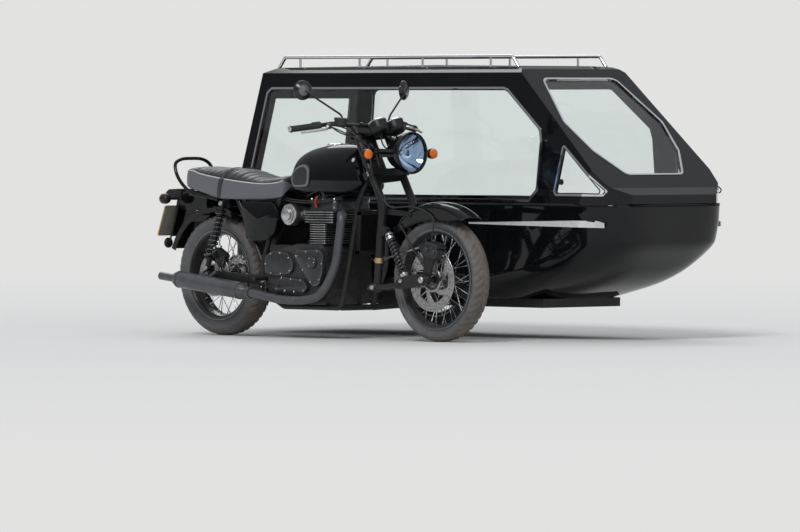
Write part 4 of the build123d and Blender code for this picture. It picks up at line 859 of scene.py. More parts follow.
class OUTFIT_OT_discs(Operator):
    """Brake discs with swept slots and holes, and the rear sprocket with its bolts"""

    bl_idname = "outfit.discs"
    bl_label = "Discs"

    def execute(self, context):
        self.disc("front", **FRONT_DISC, sweep=0.9)
        self.disc("rear", **REAR_DISC, sweep=0.7)
        self.sprocket(WHEELS["rear"])
        return {"FINISHED"}

    def sprocket(self, w):
        """Toothed plate on a turned carrier: r = 92 - 5.5 * ((1 - cos(42 t)) / 2) ** 1.4."""
        teeth = 42
        t = ring(teeth * 4)
        r = 92 - 5.5 * (0.5 - 0.5 * np.cos(t * teeth)) ** 1.4
        line = np.stack([w["x"] + r * np.cos(t), w["r"] + r * np.sin(t)], axis=1)
        gear = Skin().plate(line, CHAIN_Y - 3.5, CHAIN_Y + 3.5)
        gear.lathe([(16, 60.5), (46, 60.5), (60, 79), (60, 88), (40, 89), (34, 79), (16, 78)],
                   (w["x"], 0, w["r"]), (0, 1, 0), 48)
        for x, z in circle(52, 6):
            gear.bolt((w["x"] + x, CHAIN_Y + 3.5, w["r"] + z), (0, 1, 0), 6, 5, socket=False)
        gear.piece("rear_sprocket", "steel", w["body"], smooth=35)

    def disc(self, tag, y, radius, sweep):
        """Rings of points whose angle turns on with the radius, angle + sweep * (r - inner) / width, so that
        the slots left out between rows run as curves; the dish falls to the hub by a smooth step."""
        w = WHEELS[tag]
        inner, turns, slots = 56.0, 288, 6
        r = np.concatenate([np.linspace(17, 52, 6), np.linspace(inner, radius - 40, 10),
                            np.linspace(radius - 37, radius, 9)])
        turn = ring(turns)[None, :] + sweep * np.clip((r[:, None] - inner) / (radius - inner), 0, 1)
        dish = np.clip((52 - r) / 30, 0, 1)
        dish = dish * dish * (3 - 2 * dish)
        hub_end = np.sign(y) * (w["hub_half"] + 2.5)
        off = y + (hub_end - y) * dish
        points = np.stack([w["x"] + r[:, None] * np.cos(turn), off[:, None] + 0 * turn,
                           w["r"] + r[:, None] * np.sin(turn)], axis=-1)
        row = np.arange(len(r) - 1)[:, None]
        col = np.arange(turns)[None, :]
        part = col % (turns // slots)
        keep = ~((row >= 7) & (row <= 13) & (part > 8) & (part < turns // slots - 8))
        drill = turns // (slots * 4)
        for hole_row, shift in ((17, 0), (21, drill // 2)):
            keep &= ~((row == hole_row) & ((col + shift) % drill < 3))
        Skin().grid(points, keep=keep).piece(f"{tag}_disc_swept", "steel", w["body"], solid=5.6, smooth=35,
                                             nodes=(f"{tag}_disc",))


def tank_low(x):
    """Height of the tank's lower edge, which sweeps up at the front."""
    return 729 + 58 * np.clip((x - 1000) / 118, 0, 1) ** 1.8


def tank_lines(x):
    """Half width and top height of the tank at places along it."""
    plan, top = spline(TANK_PLAN, 200), spline(TANK_TOP, 200)
    return np.interp(x, plan[:, 0], plan[:, 1]), np.interp(x, top[:, 0], top[:, 1])


def tank_half(x, z):
    """Half width of the tank at a side-view point: w(x) * (1 - |(z - middle) / h| ** n) ** (1 / n), with h the
    reach up or down from the widest line."""
    wide, high = tank_lines(x)
    up = np.clip((z - TANK_MID_Z) / (high - TANK_MID_Z), 0, 1)
    down = np.clip((TANK_MID_Z - z) / (TANK_MID_Z - tank_low(x)), 0, 1)
    return wide * (1 - up ** 2.5) ** (1 / 2.5) * (1 - down ** 4.0) ** 0.25


class OUTFIT_OT_tank(Operator):
    """Fuel tank, its filler cap and knee pads"""

    bl_idname = "outfit.tank"
    bl_label = "Tank"

    def execute(self, context):
        self.shell()
        self.filler()
        self.knees()
        return {"FINISHED"}

    def shell(self):
        """Sections across the tank, y = w * f * |cos a| ** n and z = middle + h * f * |sin a| ** n with their
        signs, where f falls to 0 at both ends as the rest of a power 2.8 and 2.6 arc."""
        along = (1 - np.cos(np.pi * np.linspace(0, 1, 90))) / 2
        x = 576 + (1117 - 576) * along
        front = (1 - np.clip((x - 1040) / 78, 0, 1) ** 2.8) ** (1 / 2.8)
        back = (1 - np.clip((640 - x) / 64.5, 0, 1) ** 2.6) ** (1 / 2.6)
        ends = (front * back)[:, None]
        wide, high = [v[:, None] for v in tank_lines(x)]
        low = tank_low(x)[:, None]
        a = ring(96)[None]
        c, s = np.cos(a), np.sin(a)
        n = np.where(s > 0, 2 / 2.5, 2 / 4.5)
        reach = np.where(s > 0, high - TANK_MID_Z, TANK_MID_Z - low)
        y = wide * ends ** 0.8 * np.sign(c) * np.abs(c) ** n
        z = TANK_MID_Z + reach * ends * np.sign(s) * np.abs(s) ** n
        points = np.stack([np.broadcast_to(x[:, None], y.shape), y, z], axis=-1)
        Skin().grid(points, caps=True).piece("tank_shell", "gloss_black", "outfit", smooth=70, merge=0.05,
                                             nodes=("fuel_tank",))

    def filler(self):
        """Turned lid in a turned ring, with six screws."""
        cap = smooth_profile([(0, -14), (43, -14), (44, 2), (42, 7), (37, 9), (30, 12), (12, 14), (0, 14)], 30)
        lid = Skin().lathe(cap, (826, 0, 980), (0.02, 0, 1), 48)
        lid.lathe([(44, -3), (49, -3), (49, 1), (44, 2)], (826, 0, 981), (0.02, 0, 1), 48)
        for x, y in circle(37, 6):
            lid.bolt((826 + x, y, 988), (0, 0, 1), 2.4, 2)
        lid.piece("filler_lid", "chrome", "outfit", smooth=50, nodes=("filler_cap",))

    def knees(self):
        """Pads that lie on the tank's own surface, with a pale band inside their edge."""
        line = spline([(614, 792), (613, 824), (640, 856), (690, 880), (744, 884), (778, 862), (782, 818),
                       (768, 774), (700, 766), (636, 768)], 96, closed=True)
        knee = Skin()
        for side in (-1, 1):
            knee.pad(line, 0, side, 5.0, 2.0, rows=20, sink=6, lie=tank_half,
                     mark=lambda s: ((s > 0.79) & (s < 0.93)).astype(float))
        knee.piece("knee_rubber", "rubber", "outfit", finish="pad_rubber", smooth=60, nodes=("knee_pads",))


class OUTFIT_OT_seat(Operator):
    """Ribbed seat with piped edges and a strap"""

    bl_idname = "outfit.seat"
    bl_label = "Seat"

    START, END = -212, 574
    HALF = [(-214, 60), (-196, 96), (-160, 122), (-100, 136), (60, 141), (250, 139), (400, 136), (500, 134),
            (574, 130)]
    LOW = [(-214, 790), (-190, 772), (-137, 757), (-13, 732), (89, 708), (254, 704), (435, 705), (548, 716),
           (574, 736)]
    PIPE = [(-214, 826), (-180, 846), (-109, 845), (-62, 832), (80, 811), (245, 793), (401, 783), (520, 789),
            (574, 806)]
    CROWN = [(-214, 838), (-190, 858), (-127, 866), (-12, 862), (179, 853), (293, 826), (391, 810), (459, 817),
             (540, 826), (574, 816)]

    def stations(self, x):
        """Half width, lower edge, piping height and crown height at places along the seat."""
        lines = [spline(points, 200) for points in (self.HALF, self.LOW, self.PIPE, self.CROWN)]
        return [np.interp(x, line[:, 0], line[:, 1]) for line in lines]

    def execute(self, context):
        x = np.linspace(self.START, self.END, 260)
        half, low, pipe, crown = self.stations(x)
        end = np.clip(np.minimum((x - self.START) / 24, (self.END - x) / 16), 0, 1)
        end = np.sqrt(1 - (1 - end) ** 2)
        half = half * (0.7 + 0.3 * end)
        mid = (low + pipe) / 2
        low, pipe, crown = [mid + (v - mid) * (0.35 + 0.65 * end) for v in (low, pipe, crown)]
        self.cover(x, half, low, pipe, crown, context.scene.outfit.seat)
        self.piping(x, half, pipe)
        self.strap(x, half, low, pipe, crown)
        return {"FINISHED"}

    def cover(self, x, half, low, pipe, crown, s):
        """One section line at every place, smooth through 13 heights from the flat base round the side and over
        the crown, with ribs rise * (|sin(pi * ribs * along)| ** 0.5 - 0.75) on its upper part. The sides are
        marked for a painted sheen."""
        mid = (low + pipe) / 2
        rise = crown - pipe
        flat = np.minimum(np.maximum(low + 3, 748.0), mid + 8)
        rows = [(0 * half, flat), (half - 12, flat), (half - 9, low + 3), (half - 4, low - 1), (half, low + 5),
                (half + 1.5, (2 * low + pipe) / 3), (half, (low + 2 * pipe) / 3), (half - 4, pipe - 7),
                (half - 9, pipe - 1), (0.86 * half, pipe + 0.42 * rise), (0.66 * half, pipe + 0.78 * rise),
                (0.36 * half, pipe + 0.96 * rise), (0 * half, crown)]
        control = np.array([np.concatenate([a, b]) for a, b in rows])
        fine = spline(control, 74)
        y, z = fine[:, :len(x)].T, fine[:, len(x):].T
        step = np.linspace(0, len(rows) - 1, 74)[None]
        zone = np.clip((x + 128) / 22, 0, 1) * np.clip((486 - x) / 22, 0, 1)
        puff = np.abs(np.sin(np.pi * (x + 128) / 614 * s.ribs)) ** 0.5 - 0.75
        z = z + s.rise * (zone * puff)[:, None] * np.clip((step - 8.5) / 0.8, 0, 1)
        # pale marks the sides between the base and the piping, which take a paler colour: painted sheen for the
        # light they catch
        pale = np.clip((8.0 - step) / 0.15, 0, 1) * np.clip((step - 3.2) / 0.3, 0, 1)
        y = np.concatenate([y, -y[:, -2:0:-1]], axis=1)
        z = np.concatenate([z, z[:, -2:0:-1]], axis=1)
        pale = np.concatenate([pale, pale[:, -2:0:-1]], axis=1)
        points = np.stack([np.broadcast_to(x[:, None], y.shape), y, z], axis=-1)
        seat = Skin().grid(points, caps=True, mark=np.broadcast_to(pale, y.shape)).piece(
            "seat_cover", "seat_vinyl", "outfit", smooth=60, nodes=("seat",))

    def piping(self, x, half, pipe):
        """Round bead along both upper edges and across the front."""
        edge = np.stack([x, half - 7, pipe], axis=1)[6:-4]
        path = np.concatenate([sided(edge[::-1], -1), edge])
        bead = Skin().tube(even(path, 260), 3.2, 8)
        bead.piece("seat_piping", "seat_vinyl", "outfit", finish="piping", smooth=60)

    def strap(self, x, half, low, pipe, crown):
        """Band across the seat, its ends tucked under the lower edge: four corners carried square to a line
        over the crown, at + lean + dx along the seat and dz off the line."""
        at = 108.0
        h, b, p, c = [np.interp(at, x, v) for v in (half, low, pipe, crown)]
        line = [(h - 2, b - 1, -13), (h + 3, (2 * b + p) / 3, -8), (h + 1, p - 10, 2), (h - 7, p + 4, 8),
                (0.7 * h, p + 0.8 * (c - p) + 4, 12), (0.35 * h, c + 4.5, 13), (0, c + 6, 13)]
        half_line = spline(line, 40)
        y, z, lean = np.concatenate([half_line, half_line[-2::-1] * vec(-1, 1, 1)]).T
        off = unit(np.stack([-np.gradient(z), np.gradient(y)], axis=1))
        rows = [np.stack([at + lean + dx, y + off[:, 0] * dz, z + off[:, 1] * dz], axis=1)
                for dx, dz in ((-13, -1.5), (-13, 1.2), (13, 1.2), (13, -1.5))]
        Skin().grid(np.stack(rows, axis=1), caps=True).piece("seat_strap", "seat_vinyl", "outfit", smooth=30)


def coil(a, b, radius, turns):
    """Helix between two points: a + t * (b - a) + radius * (cos w * e1 + sin w * e2), w = TAU * turns * t."""
    axis = unit(b - a)
    e1 = unit(np.cross(axis, vec(0, 1, 0)))
    e2 = np.cross(axis, e1)
    t = np.linspace(0, 1, int(turns * 22))[:, None]
    w = TAU * turns * t
    return a + t * (b - a) + radius * (np.cos(w) * e1 + np.sin(w) * e2)


def dampers(name, body, node, ends, eye, radius, half, s):
    """Shock absorbers on both sides: eyes, body, rod and seats turned about the line between their ends, with
    wound springs over them. Half is half the width of an eye, and eye its radius."""
    black, wire = Skin(), Skin()
    for side in (-1, 1):
        a, b = sided(ends, side)
        axis = unit(b - a)
        span = np.linalg.norm(b - a)
        top, low, r = 0.1 * span, 0.83 * span, radius
        black.lathe([(0, 0.6 * eye), (0.5 * r, 0.6 * eye), (0.62 * r, top), (r + 2, top + 2), (r + 2, top + 9),
                     (0.6 * r, top + 12), (0.6 * r, 0.62 * span), (half - 3, 0.63 * span),
                     (half - 3, 0.8 * span), (0.7 * r, 0.82 * span), (r + 2, low), (r + 2, low + 8),
                     (0.55 * r, low + 11), (0.5 * r, span - 0.6 * eye), (0, span - 0.6 * eye)], a, axis, 32)
        for p in (a, b):
            black.lathe([(7, -half), (eye, -half), (eye + 1, 0), (eye, half), (7, half)], p, (0, side, 0), 32)
            black.bolt(p + vec(0, side * half, 0), (0, side, 0), 8, 7, socket=False)
        wound = coil(a + axis * (top + 11), a + axis * (low - 2), r - s.wire + 0.5, s.turns)
        wire.tube(wound, s.wire, 9)
    black.piece(f"{name}_bodies", "satin_black", body, nodes=(node,))
    wire.piece(f"{name}_springs", "satin_black", body, finish="spring_black", smooth=60)


class OUTFIT_OT_fork(Operator):
    """Fork legs with their bands, the leading arm and the sprung units of both ends"""

    bl_idname = "outfit.fork"
    bl_label = "Fork"

    def execute(self, context):
        s = context.scene.outfit.spring
        self.legs()
        self.bright()
        self.bands()
        self.arm()
        dampers("front_shock", "front_fork", "front_shocks", FRONT_SHOCK, 15, 22, 9, s)
        dampers("rear_shock", "outfit", "rear_shocks", REAR_SHOCK, 17, 26, 10, s)
        return {"FINISHED"}

    def legs(self):
        """Cranked round legs from the yoke to the pivot eyes, with their lugs and caps."""
        legs = Skin()
        lug = rounded([(1262, 590), (1262, 515), (1312, 534), (1326, 556), (1310, 576)], 8)
        for side in (-1, 1):
            y = side * LEG_Y
            top = head(-26, 30, y)
            path = bent([top, (1287, y, 684), (1265, y, 520), (PIVOT[0], y, PIVOT[1] + 12)], 160, 14)
            legs.tube(even(path, 60), 20.5, 28)
            legs.lathe([(9.2, -13), (24, -13), (26, -11), (26, 11), (24, 13), (9.2, 13)],
                       (PIVOT[0], y, PIVOT[1]), (0, 1, 0), 40)
            legs.plate(lug, y + side * 6, y + side * 18)
            legs.lathe([(0, 0), (19, 0), (19, 3), (12, 5), (12, 10), (0, 12)], top + head(0) - head(1),
                       head(0) - head(1), 32)
        legs.piece("fork_leg_tubes", "satin_black", "front_fork", smooth=50, nodes=("fork_legs",))

    def bands(self):
        """Brass band round each leg, and the boss beside it."""
        bands = Skin()
        for y in (-LEG_Y, LEG_Y):
            bands.tube([(1254.8, y, 391), (1257.0, y, 417)], 23.2, 36)
            bands.lathe([(0, 0), (5, 0), (5, 20), (0, 20)], (1232, y - 10, 404), (0, 1, 0), 16)
        bands.piece("fork_bands", "steel", "front_fork", finish="brass", smooth=35)

    def arm(self):
        """Leading arm: a plate at the axle and a round tube on each side, joined by a loop behind the wheel."""
        arm = Skin()
        (px, pz), y = PIVOT, 128
        line = rounded([(1404, 266), (1470, 262), (1590, 284), (1628, 290), (1640, 312), (1630, 334),
                        (1590, 342), (1470, 330), (1410, 306)], 12)
        for side in (-1, 1):
            arm.plate(line, side * (y - 9), side * (y + 9))
            arm.tube([(px, side * y, pz), (1330, side * y, 274), (1430, side * y, 285)], 13, 20)
            arm.lathe([(0, 0), (22, 0), (22, 16), (18, 20), (0, 20)], (px, side * (y - 9), pz),
                      (0, side, 0), 32)
            arm.bolt((px, side * 139, pz), (0, side, 0), 10, 8, socket=False)
            arm.lathe([(0, 52.5), (13, 52.5), (13, 121), (0, 121)], (FRONT_X, 0, AXLE_Z), (0, side, 0), 24)
            arm.bolt((FRONT_X, side * 137, AXLE_Z), (0, side, 0), 14, 12, socket=False)
            arm.lathe([(0, 0), (8, 0), (8, 36), (0, 36)], (1450, side * 84, 304), (0, side, 0), 20)
        back = px - 56
        loop = [(px, y, pz), (back, y, pz - 6), (back, -y, pz - 6), (px, -y, pz)]
        arm.tube(bent(loop, 34, 10), 13, 20)
        arm.piece("leading_arm_fine", "satin_black", "front_fork", bevel=1.2, nodes=("leading_arm",))

    def bright(self):
        """Bright collars of the front shock absorbers, and nuts at the pivots, axle and yoke."""
        caps = Skin()
        for side in (-1, 1):
            a, b = sided(FRONT_SHOCK, side)
            run = unit(b - a)
            caps.lathe([(0, 14), (15, 14), (20, 19), (23.5, 30), (23.5, 52), (0, 52)], a, run, 32)
            caps.lathe([(0, 14), (14, 14), (19, 22), (21, 34), (21, 42), (0, 42)], b, -run, 32)
            for x, y, z, r in ((PIVOT[0], 141, PIVOT[1], 13), (1450, 137, 304, 11), (FRONT_X, 140, AXLE_Z, 17)):
                caps.lathe([(0, 0), (r, 0), (r, 7), (0.8 * r, 11), (0, 13)], (x, side * y, z), (0, side, 0), 28)
            for down in (228, 242):
                caps.bolt(head(down, 30, side * 127), (0, side, 0), 6, 6)
        caps.piece("front_shock_caps", "alloy", "front_fork")


class OUTFIT_OT_brakes(Operator):
    """Front and rear calipers with their carriers, the stay rod and the hose"""

    bl_idname = "outfit.brakes"
    bl_label = "Brakes"

    ROUTE = [(1084, -204, 1076), (1150, -190, 1046), (1206, -132, 940), (1250, -134, 800), (1332, -136, 700),
             (1375, -122, 672), (1460, -84, 676), (1560, -80, 656), (1624, -80, 612), (1614, -84, 500)]

    def execute(self, context):
        self.stay()
        self.carrier()
        self.caliper("front", FRONT_X, FRONT_DISC, 76.0, (-118.0, -46.0), "front_fork")
        self.caliper("rear", REAR_X, REAR_DISC, 62.0, (-103.0, -66.0), "outfit")
        self.hose()
        return {"FINISHED"}

    def carrier(self):
        """Plate from the axle up to the front caliper."""
        line = rounded([(1574, 312), (1582, 288), (1618, 288), (1630, 336), (1662, 420), (1668, 470),
                        (1640, 488), (1556, 492), (1550, 470), (1580, 440), (1586, 372)], 12)
        carrier = Skin().plate(line, -112, -99)
        carrier.piece("front_carrier", "alloy", "front_fork", finish="satin_black", smooth=35, bevel=1.4)

    def stay(self):
        """Rod with an eye at each end, from the fork leg to the carrier."""
        ends = ((1256, -90, 412), (1570, -101, 486))
        rod = Skin().tube([(x, -70, z) for x, _, z in ends], 5, 16)
        for x, y, z in ends:
            rod.lathe([(0, -6), (11, -6), (11, 6), (0, 6)], (x, -70, z), (0, 1, 0), 28)
            rod.tube([(x, -75, z), (x, y, z)], 6, 16)
        rod.piece("brake_stay", "alloy", "front_fork")

    def hose(self):
        """Brake hose, fixed at both ends, with clips along it."""
        hose = Skin().tube(even(spline(self.ROUTE, 160), 120), 4.2, 12)
        for place in self.ROUTE[3:9:2]:
            hose.lathe([(0, -6), (6.5, -6), (6.5, 6), (0, 6)], place, (0.5, 0.2, -0.3), 16)
        hose.piece("brake_hose", "rubber", "front_fork", smooth=60)

    def caliper(self, tag, x, disc, angle, walls, body):
        """Body over the disc's rim in two halves, each a rounded plate stepped in thickness, joined by a bridge
        past the rim, with pistons, bolts and a bleed nipple: P = middle + s * (a * along + b * out)."""
        t = np.radians(angle)
        out, along = vec(np.cos(t), 0, np.sin(t)), vec(-np.sin(t), 0, np.cos(t))
        mid = vec(x, 0, WHEELS[tag]["r"]) + out * (disc["radius"] - 12)
        inner, outer = walls
        gap = 4.4
        piece = Skin()
        local = rounded([(-50, -24), (-34, -34), (34, -34), (50, -24), (50, 12), (30, 26), (-30, 26),
                         (-50, 12)], 9)
        for y0, y1 in ((inner, disc["y"] - gap), (disc["y"] + gap, outer)):
            rows = []
            for s, d in ((0.0, 0), (0.94, 0), (1.0, 0.12), (1.0, 0.88), (0.94, 1), (0.0, 1)):
                p = mid + s * (local[:, :1] * along + local[:, 1:] * out)
                p[:, 1] = y0 + d * (y1 - y0)
                rows.append(p)
            piece.grid(np.array(rows))
        bridge = rounded([(-46, 22), (46, 22), (46, 34), (30, 42), (-30, 42), (-46, 34)], 5)
        rows = []
        for s, y in ((0, inner + 3), (1, inner + 3), (1, outer - 3), (0, outer - 3)):
            p = mid + s * bridge[:, :1] * along + (bridge[:, 1:] * s + 32 * (1 - s)) * out
            p[:, 1] = y
            rows.append(p)
        piece.grid(np.array(rows))
        for k in (-24, 24):
            face = mid + along * k + vec(0, inner, 0)
            piece.lathe([(0, -3), (14, -3), (15, 0), (15, 5), (12, 8), (0, 8)], face, (0, -1, 0), 32)
            piece.bolt(face + out * 22, (0, -1, 0), 5, 5)
        nipple = mid + out * 40 + along * 20 + vec(0, (inner + outer) / 2, 0)
        piece.lathe([(0, 0), (5, 0), (5, 8), (3, 9), (3, 18), (0, 18)], nipple, out, 16)
        piece.piece(f"{tag}_caliper_body", "alloy", body, finish="caliper_grey", bevel=1.2,
                    nodes=(f"{tag}_caliper",))


class OUTFIT_OT_guards(Operator):
    """Front mudguard with a bead round its edge, and its stays"""

    bl_idname = "outfit.guards"
    bl_label = "Mudguards"

    EDGE = [(54, 376), (66, 323), (87, 296), (113, 304), (128, 323), (138, 349)]

    def execute(self, context):
        self.skin()
        self.stays()
        return {"FINISHED"}

    def skin(self):
        """Arched sheet over the wheel: at angle a and across v, radius 387 - 20 * |v| ** 2.6 over the crown,
        then down to the skirt's edge, whose radius follows EDGE round the wheel. A bead runs round it."""
        a = np.radians(np.linspace(54, 138, 110))[:, None]
        v = np.linspace(-1, 1, 61)[None]
        line = spline(self.EDGE, 80)
        low = np.interp(np.degrees(a[:, 0]), line[:, 0], line[:, 1])[:, None]
        across = np.clip(np.abs(v) / 0.8, 0, 1)
        down = np.clip((np.abs(v) - 0.8) / 0.2, 0, 1)
        r = 387 - 20 * across ** 2.6 + (np.minimum(low, 366) - 367) * down ** 1.1
        y = 70 * np.sign(v) * (1 - (1 - across) ** 1.25) + 0 * a
        points = np.stack([FRONT_X + r * np.cos(a), y, AXLE_Z + r * np.sin(a)], axis=-1)
        Skin().grid(points, wrap_v=False).piece("front_mudguard_skin", "gloss_black", "front_fork", smooth=60,
                                                solid=3.0, nodes=("front_mudguard",))
        bead = np.concatenate([points[:, 0], points[-1, 1:], points[::-1, -1][1:], points[0, ::-1][1:-1]])
        trim = Skin().tube(even(bead, 300, closed=True), 3.4, 8, closed=True)
        trim.piece("front_mudguard_bead", "gloss_black", "front_fork", smooth=60)

    def stays(self):
        """Flat brackets back to the fork and rods down to the axle, with their bolts."""
        low = [(1270, 92, 636), (1340, 84, 632), (1420, 73, 628), (1452, 72, 618)]
        top = [(1270, 92, 666), (1340, 84, 660), (1424, 73, 652), (1462, 72, 640)]
        stays = Skin()
        for side in (-1, 1):
            p, q, thick = vec(*low), vec(*top), vec(0, 4, 0)
            stays.grid(sided(np.stack([p, q, q + thick, p + thick], axis=1), side), caps=True)
            for x, y, z, r in ((1412, 77, 640, 5), (1444, 77, 632, 5), (1620, 71, 626, 6), (1380, 76, 585, 6),
                               (1588, 78, 336, 6)):
                stays.bolt((x, side * y, z), (0, side, 0), r, r - 1)
            stays.tube([(1588, side * 76, 336), (1470, side * 78, 470), (1380, side * 76, 585)], 4.5, 12)
        stays.piece("mudguard_stays", "satin_black", "front_fork", bevel=0.8)


class OUTFIT_OT_cockpit(Operator):
    """Handlebar, grips, levers, mirrors, clocks and their leads"""

    bl_idname = "outfit.cockpit"
    bl_label = "Cockpit"

    def execute(self, context):
        self.bar()
        self.controls()
        self.mirrors()
        self.clocks()
        self.leads()
        return {"FINISHED"}

    def bar(self):
        """Round bar carried along a bent path, the same on both sides, with its risers and clamps."""
        x, y, z = BAR_CLAMP
        half = np.array([BAR_END, BAR_BEND, (1024, 210, 1092), (1050, 112, 1082), (1060, 50, 1080)])
        path = bent(np.concatenate([half, sided(half[::-1], -1)]), 60, 10)
        bar = Skin().tube(even(path, 120), 11, 24)
        for side in (-1, 1):
            bar.lathe([(0, 0), (19, 0), (20, 3), (17, 8), (17, 26), (0, 26)], head(-16, 4, side * y),
                      head(-1) - head(0), 28)
            bar.lathe([(0, -12), (17, -12), (18, -8), (18, 8), (17, 12), (0, 12)], (x, side * y, z),
                      (0, 1, 0), 28)
            for k in (-1, 1):
                bar.bolt((x + 13 * k, side * y, z + 10), (0, 0, 1), 4, 4)
        bar.piece("handlebar_tube", "satin_black", "front_fork", smooth=50, nodes=("handlebar",))

    def controls(self):
        """Ribbed grips whose radius steps by 0.9 mm every 5.2 mm, switch blocks, bar ends, levers and the
        brake's reservoir."""
        grips, ends, levers = Skin(), Skin(), Skin()
        t = np.linspace(0, 118, 120)
        r = 15.5 + 0.9 * (np.sin(t * TAU / 5.2) > 0) * (t > 8) * (t < 110)
        r = np.where((t < 4) | (t > 112), 18.5, r)
        for side in (-1, 1):
            a, b = sided([BAR_END, BAR_BEND], side)
            run = unit(b - a)
            grips.grid(piped(a + t[:, None] * run, r, 28), caps=True)
            grips.lathe([(0, 118), (18, 118), (21, 121), (21, 158), (18, 162), (0, 162)], a, run, 28)
            ends.lathe([(0, 0), (13, 0), (15, 2), (15, 9), (11, 12), (0, 12)], a + run, -run, 32)
            lever = spline(sided([(1038, 262, 1076), (1070, 282, 1072), (1076, 310, 1064), (1046, 370, 1054),
                                  (1018, 412, 1048)], side), 40)
            levers.grid(piped(lever, np.linspace(8.5, 6, 40), 14), caps=True)
            levers.lathe([(0, -7), (7.5, -5), (7.5, 5), (0, 7)], lever[-1], lever[-1] - lever[-2], 16)
            grips.tube([(1018, side * 238, 1088), (1062, side * 262, 1074)], 11, 20)
            for k in range(3):
                button = a + run * (128 + 11 * k) + vec(-12, 0, 16)
                grips.lathe([(0, 0), (4, 0), (3.4, 4), (0, 4)], button, (-0.6, 0, 0.8), 14)
        pot = [(0, 0), (18, 0), (20, 4), (30, 8), (33, 12), (33, 34), (35, 35), (35, 44), (33, 46), (0, 46)]
        grips.lathe(pot, (1080, -206, 1074), (0.1, 0, 1), 40)
        grips.tube([(1028, -226, 1088), (1066, -210, 1084)], 9, 16)
        grips.piece("grips_and_switches", "rubber", "front_fork", smooth=35, nodes=("hand_controls",))
        ends.piece("bar_ends", "steel", "front_fork", finish="alloy")
        levers.piece("levers", "steel", "front_fork", finish="alloy", smooth=50)

    def leads(self):
        """Leads from the switches and clocks down into the headlight bowl, as smooth round wires."""
        leads = Skin()
        for side in (-1, 1):
            for k in (0, 1):
                route = [(1016, 232 - 6 * k, 1082), (1070, 190, 1052 - 10 * k), (1130, 130 - 20 * k, 1010),
                         (1170, 80, 968 - 8 * k), (1214, 46 - 14 * k, 950), (1252, 34 - 10 * k, 944)]
                leads.tube(even(spline(sided(route, side), 120), 60), 3.4, 10)
            drive = [(1218, 58, 1046), (1216, 58 * 0.9, 1010), (1226, 58 * 0.7, 976), (1256, 58 * 0.5, 956)]
            leads.tube(spline(sided(drive, side), 40), 3.8, 10)
        leads.piece("headlamp_leads", "rubber", "front_fork", smooth=60)

    def mirrors(self):
        """Round mirrors on bent stems: a turned cup, marked pale at its middle, and a flat turned glass."""
        back, glass, stems = Skin(), Skin(), Skin()
        for side in (-1, 1):
            route = sided([(1038, 160, 1090), (1050, 163, 1130), (972, 350, 1256)], side)
            stems.tube(even(bent(route, 40), 40), 5, 14)
            stems.lathe([(0, -8), (11, -8), (11, 4), (7, 8), (0, 8)], route[0], (0, 0, 1), 20)
            axis = (-0.94, side * -0.34, 0)
            at = vec(970, side * 356, 1259)
            back.lathe([(0, -3), (27, -2.4), (29, 0), (44, 6), (50, 13), (50, 19), (45, 19), (45, 15), (0, 15)],
                       at, axis, 56, mark=[1, 1, 0, 0, 0, 0, 0, 0, 0])
            glass.lathe([(0, 15.2), (44.6, 15.2), (44.6, 17.4), (0, 17.4)], at, axis, 56)
        stems.piece("mirror_stems", "satin_black", "front_fork", smooth=50)
        back.piece("mirror_cups", "satin_black", "front_fork", finish="mirror_back", smooth=50,
                   nodes=("mirrors",))
        glass.piece("mirror_faces", "chrome", "front_fork")

    def clocks(self):
        """Two turned cups with bright rims, dials, hands and panes, 30 degrees back from upright."""
        cups, rims, faces, panes = Skin(), Skin(), Skin(), Skin()
        axis = unit(vec(-0.5, 0, 0.866))
        for side in (-1, 1):
            at = vec(1222, side * 58, 1042)
            cup = smooth_profile([(0, 0), (30, 1), (42, 8), (47, 22), (48, 40), (48, 62)], 30)
            cups.lathe(cup.tolist() + [(0, 62)], at, axis, 56)
            rims.lathe([(43, 60), (49, 60), (49.5, 64), (46, 67.5), (43, 66)], at, axis, 64)
            faces.lathe([(0, 60), (43, 60), (43, 62.4), (0, 62.4)], at, axis, 48)
            panes.lathe([(0, 65), (43.5, 64.2), (43.5, 65.6), (0, 67)], at, axis, 48)
            for k, angle in enumerate(np.radians(np.linspace(-130, 130, 25))):
                start, wide = (30, 1.0) if k % 3 == 0 else (34, 0.5)
                self.stroke(faces, at, axis, angle, (start, 39), (wide, wide), (62.2, 63))
            self.stroke(faces, at, axis, -2.0, (-6, 34), (2, 0.5), (63.4, 64.4))
            faces.lathe([(0, 62), (5, 62), (4, 65), (0, 65.2)], at, axis, 20)
        cups.box((head(0, 64)[0] + 14, 0, 1037), (60, 138, 14))
        cups.piece("clock_cups", "satin_black", "front_fork", nodes=("instruments",))
        rims.piece("clock_rims", "chrome", "front_fork")
        faces.piece("clock_faces", "rubber", "front_fork", finish="dial", smooth=30)
        panes.piece("clock_panes", "lamp_glass", "front_fork")

    def stroke(self, skin, at, axis, angle, reach, wide, high):
        """Flat bar on a dial, marked white: P = at + h * axis + r * d plus or minus w * (axis x d), with d the
        direction at the angle."""
        d = np.cos(angle) * unit(vec(0.866, 0, 0.5)) + np.sin(angle) * vec(0, 1, 0)
        across = np.cross(axis, d)
        h0, h1 = high
        rows = [[at + axis * h + d * r + across * w * k for k, h in ((-1, h0), (-1, h1), (1, h1), (1, h0))]
                for r, w in zip(reach, wide)]
        skin.grid(np.array(rows), caps=True, mark=1.0)


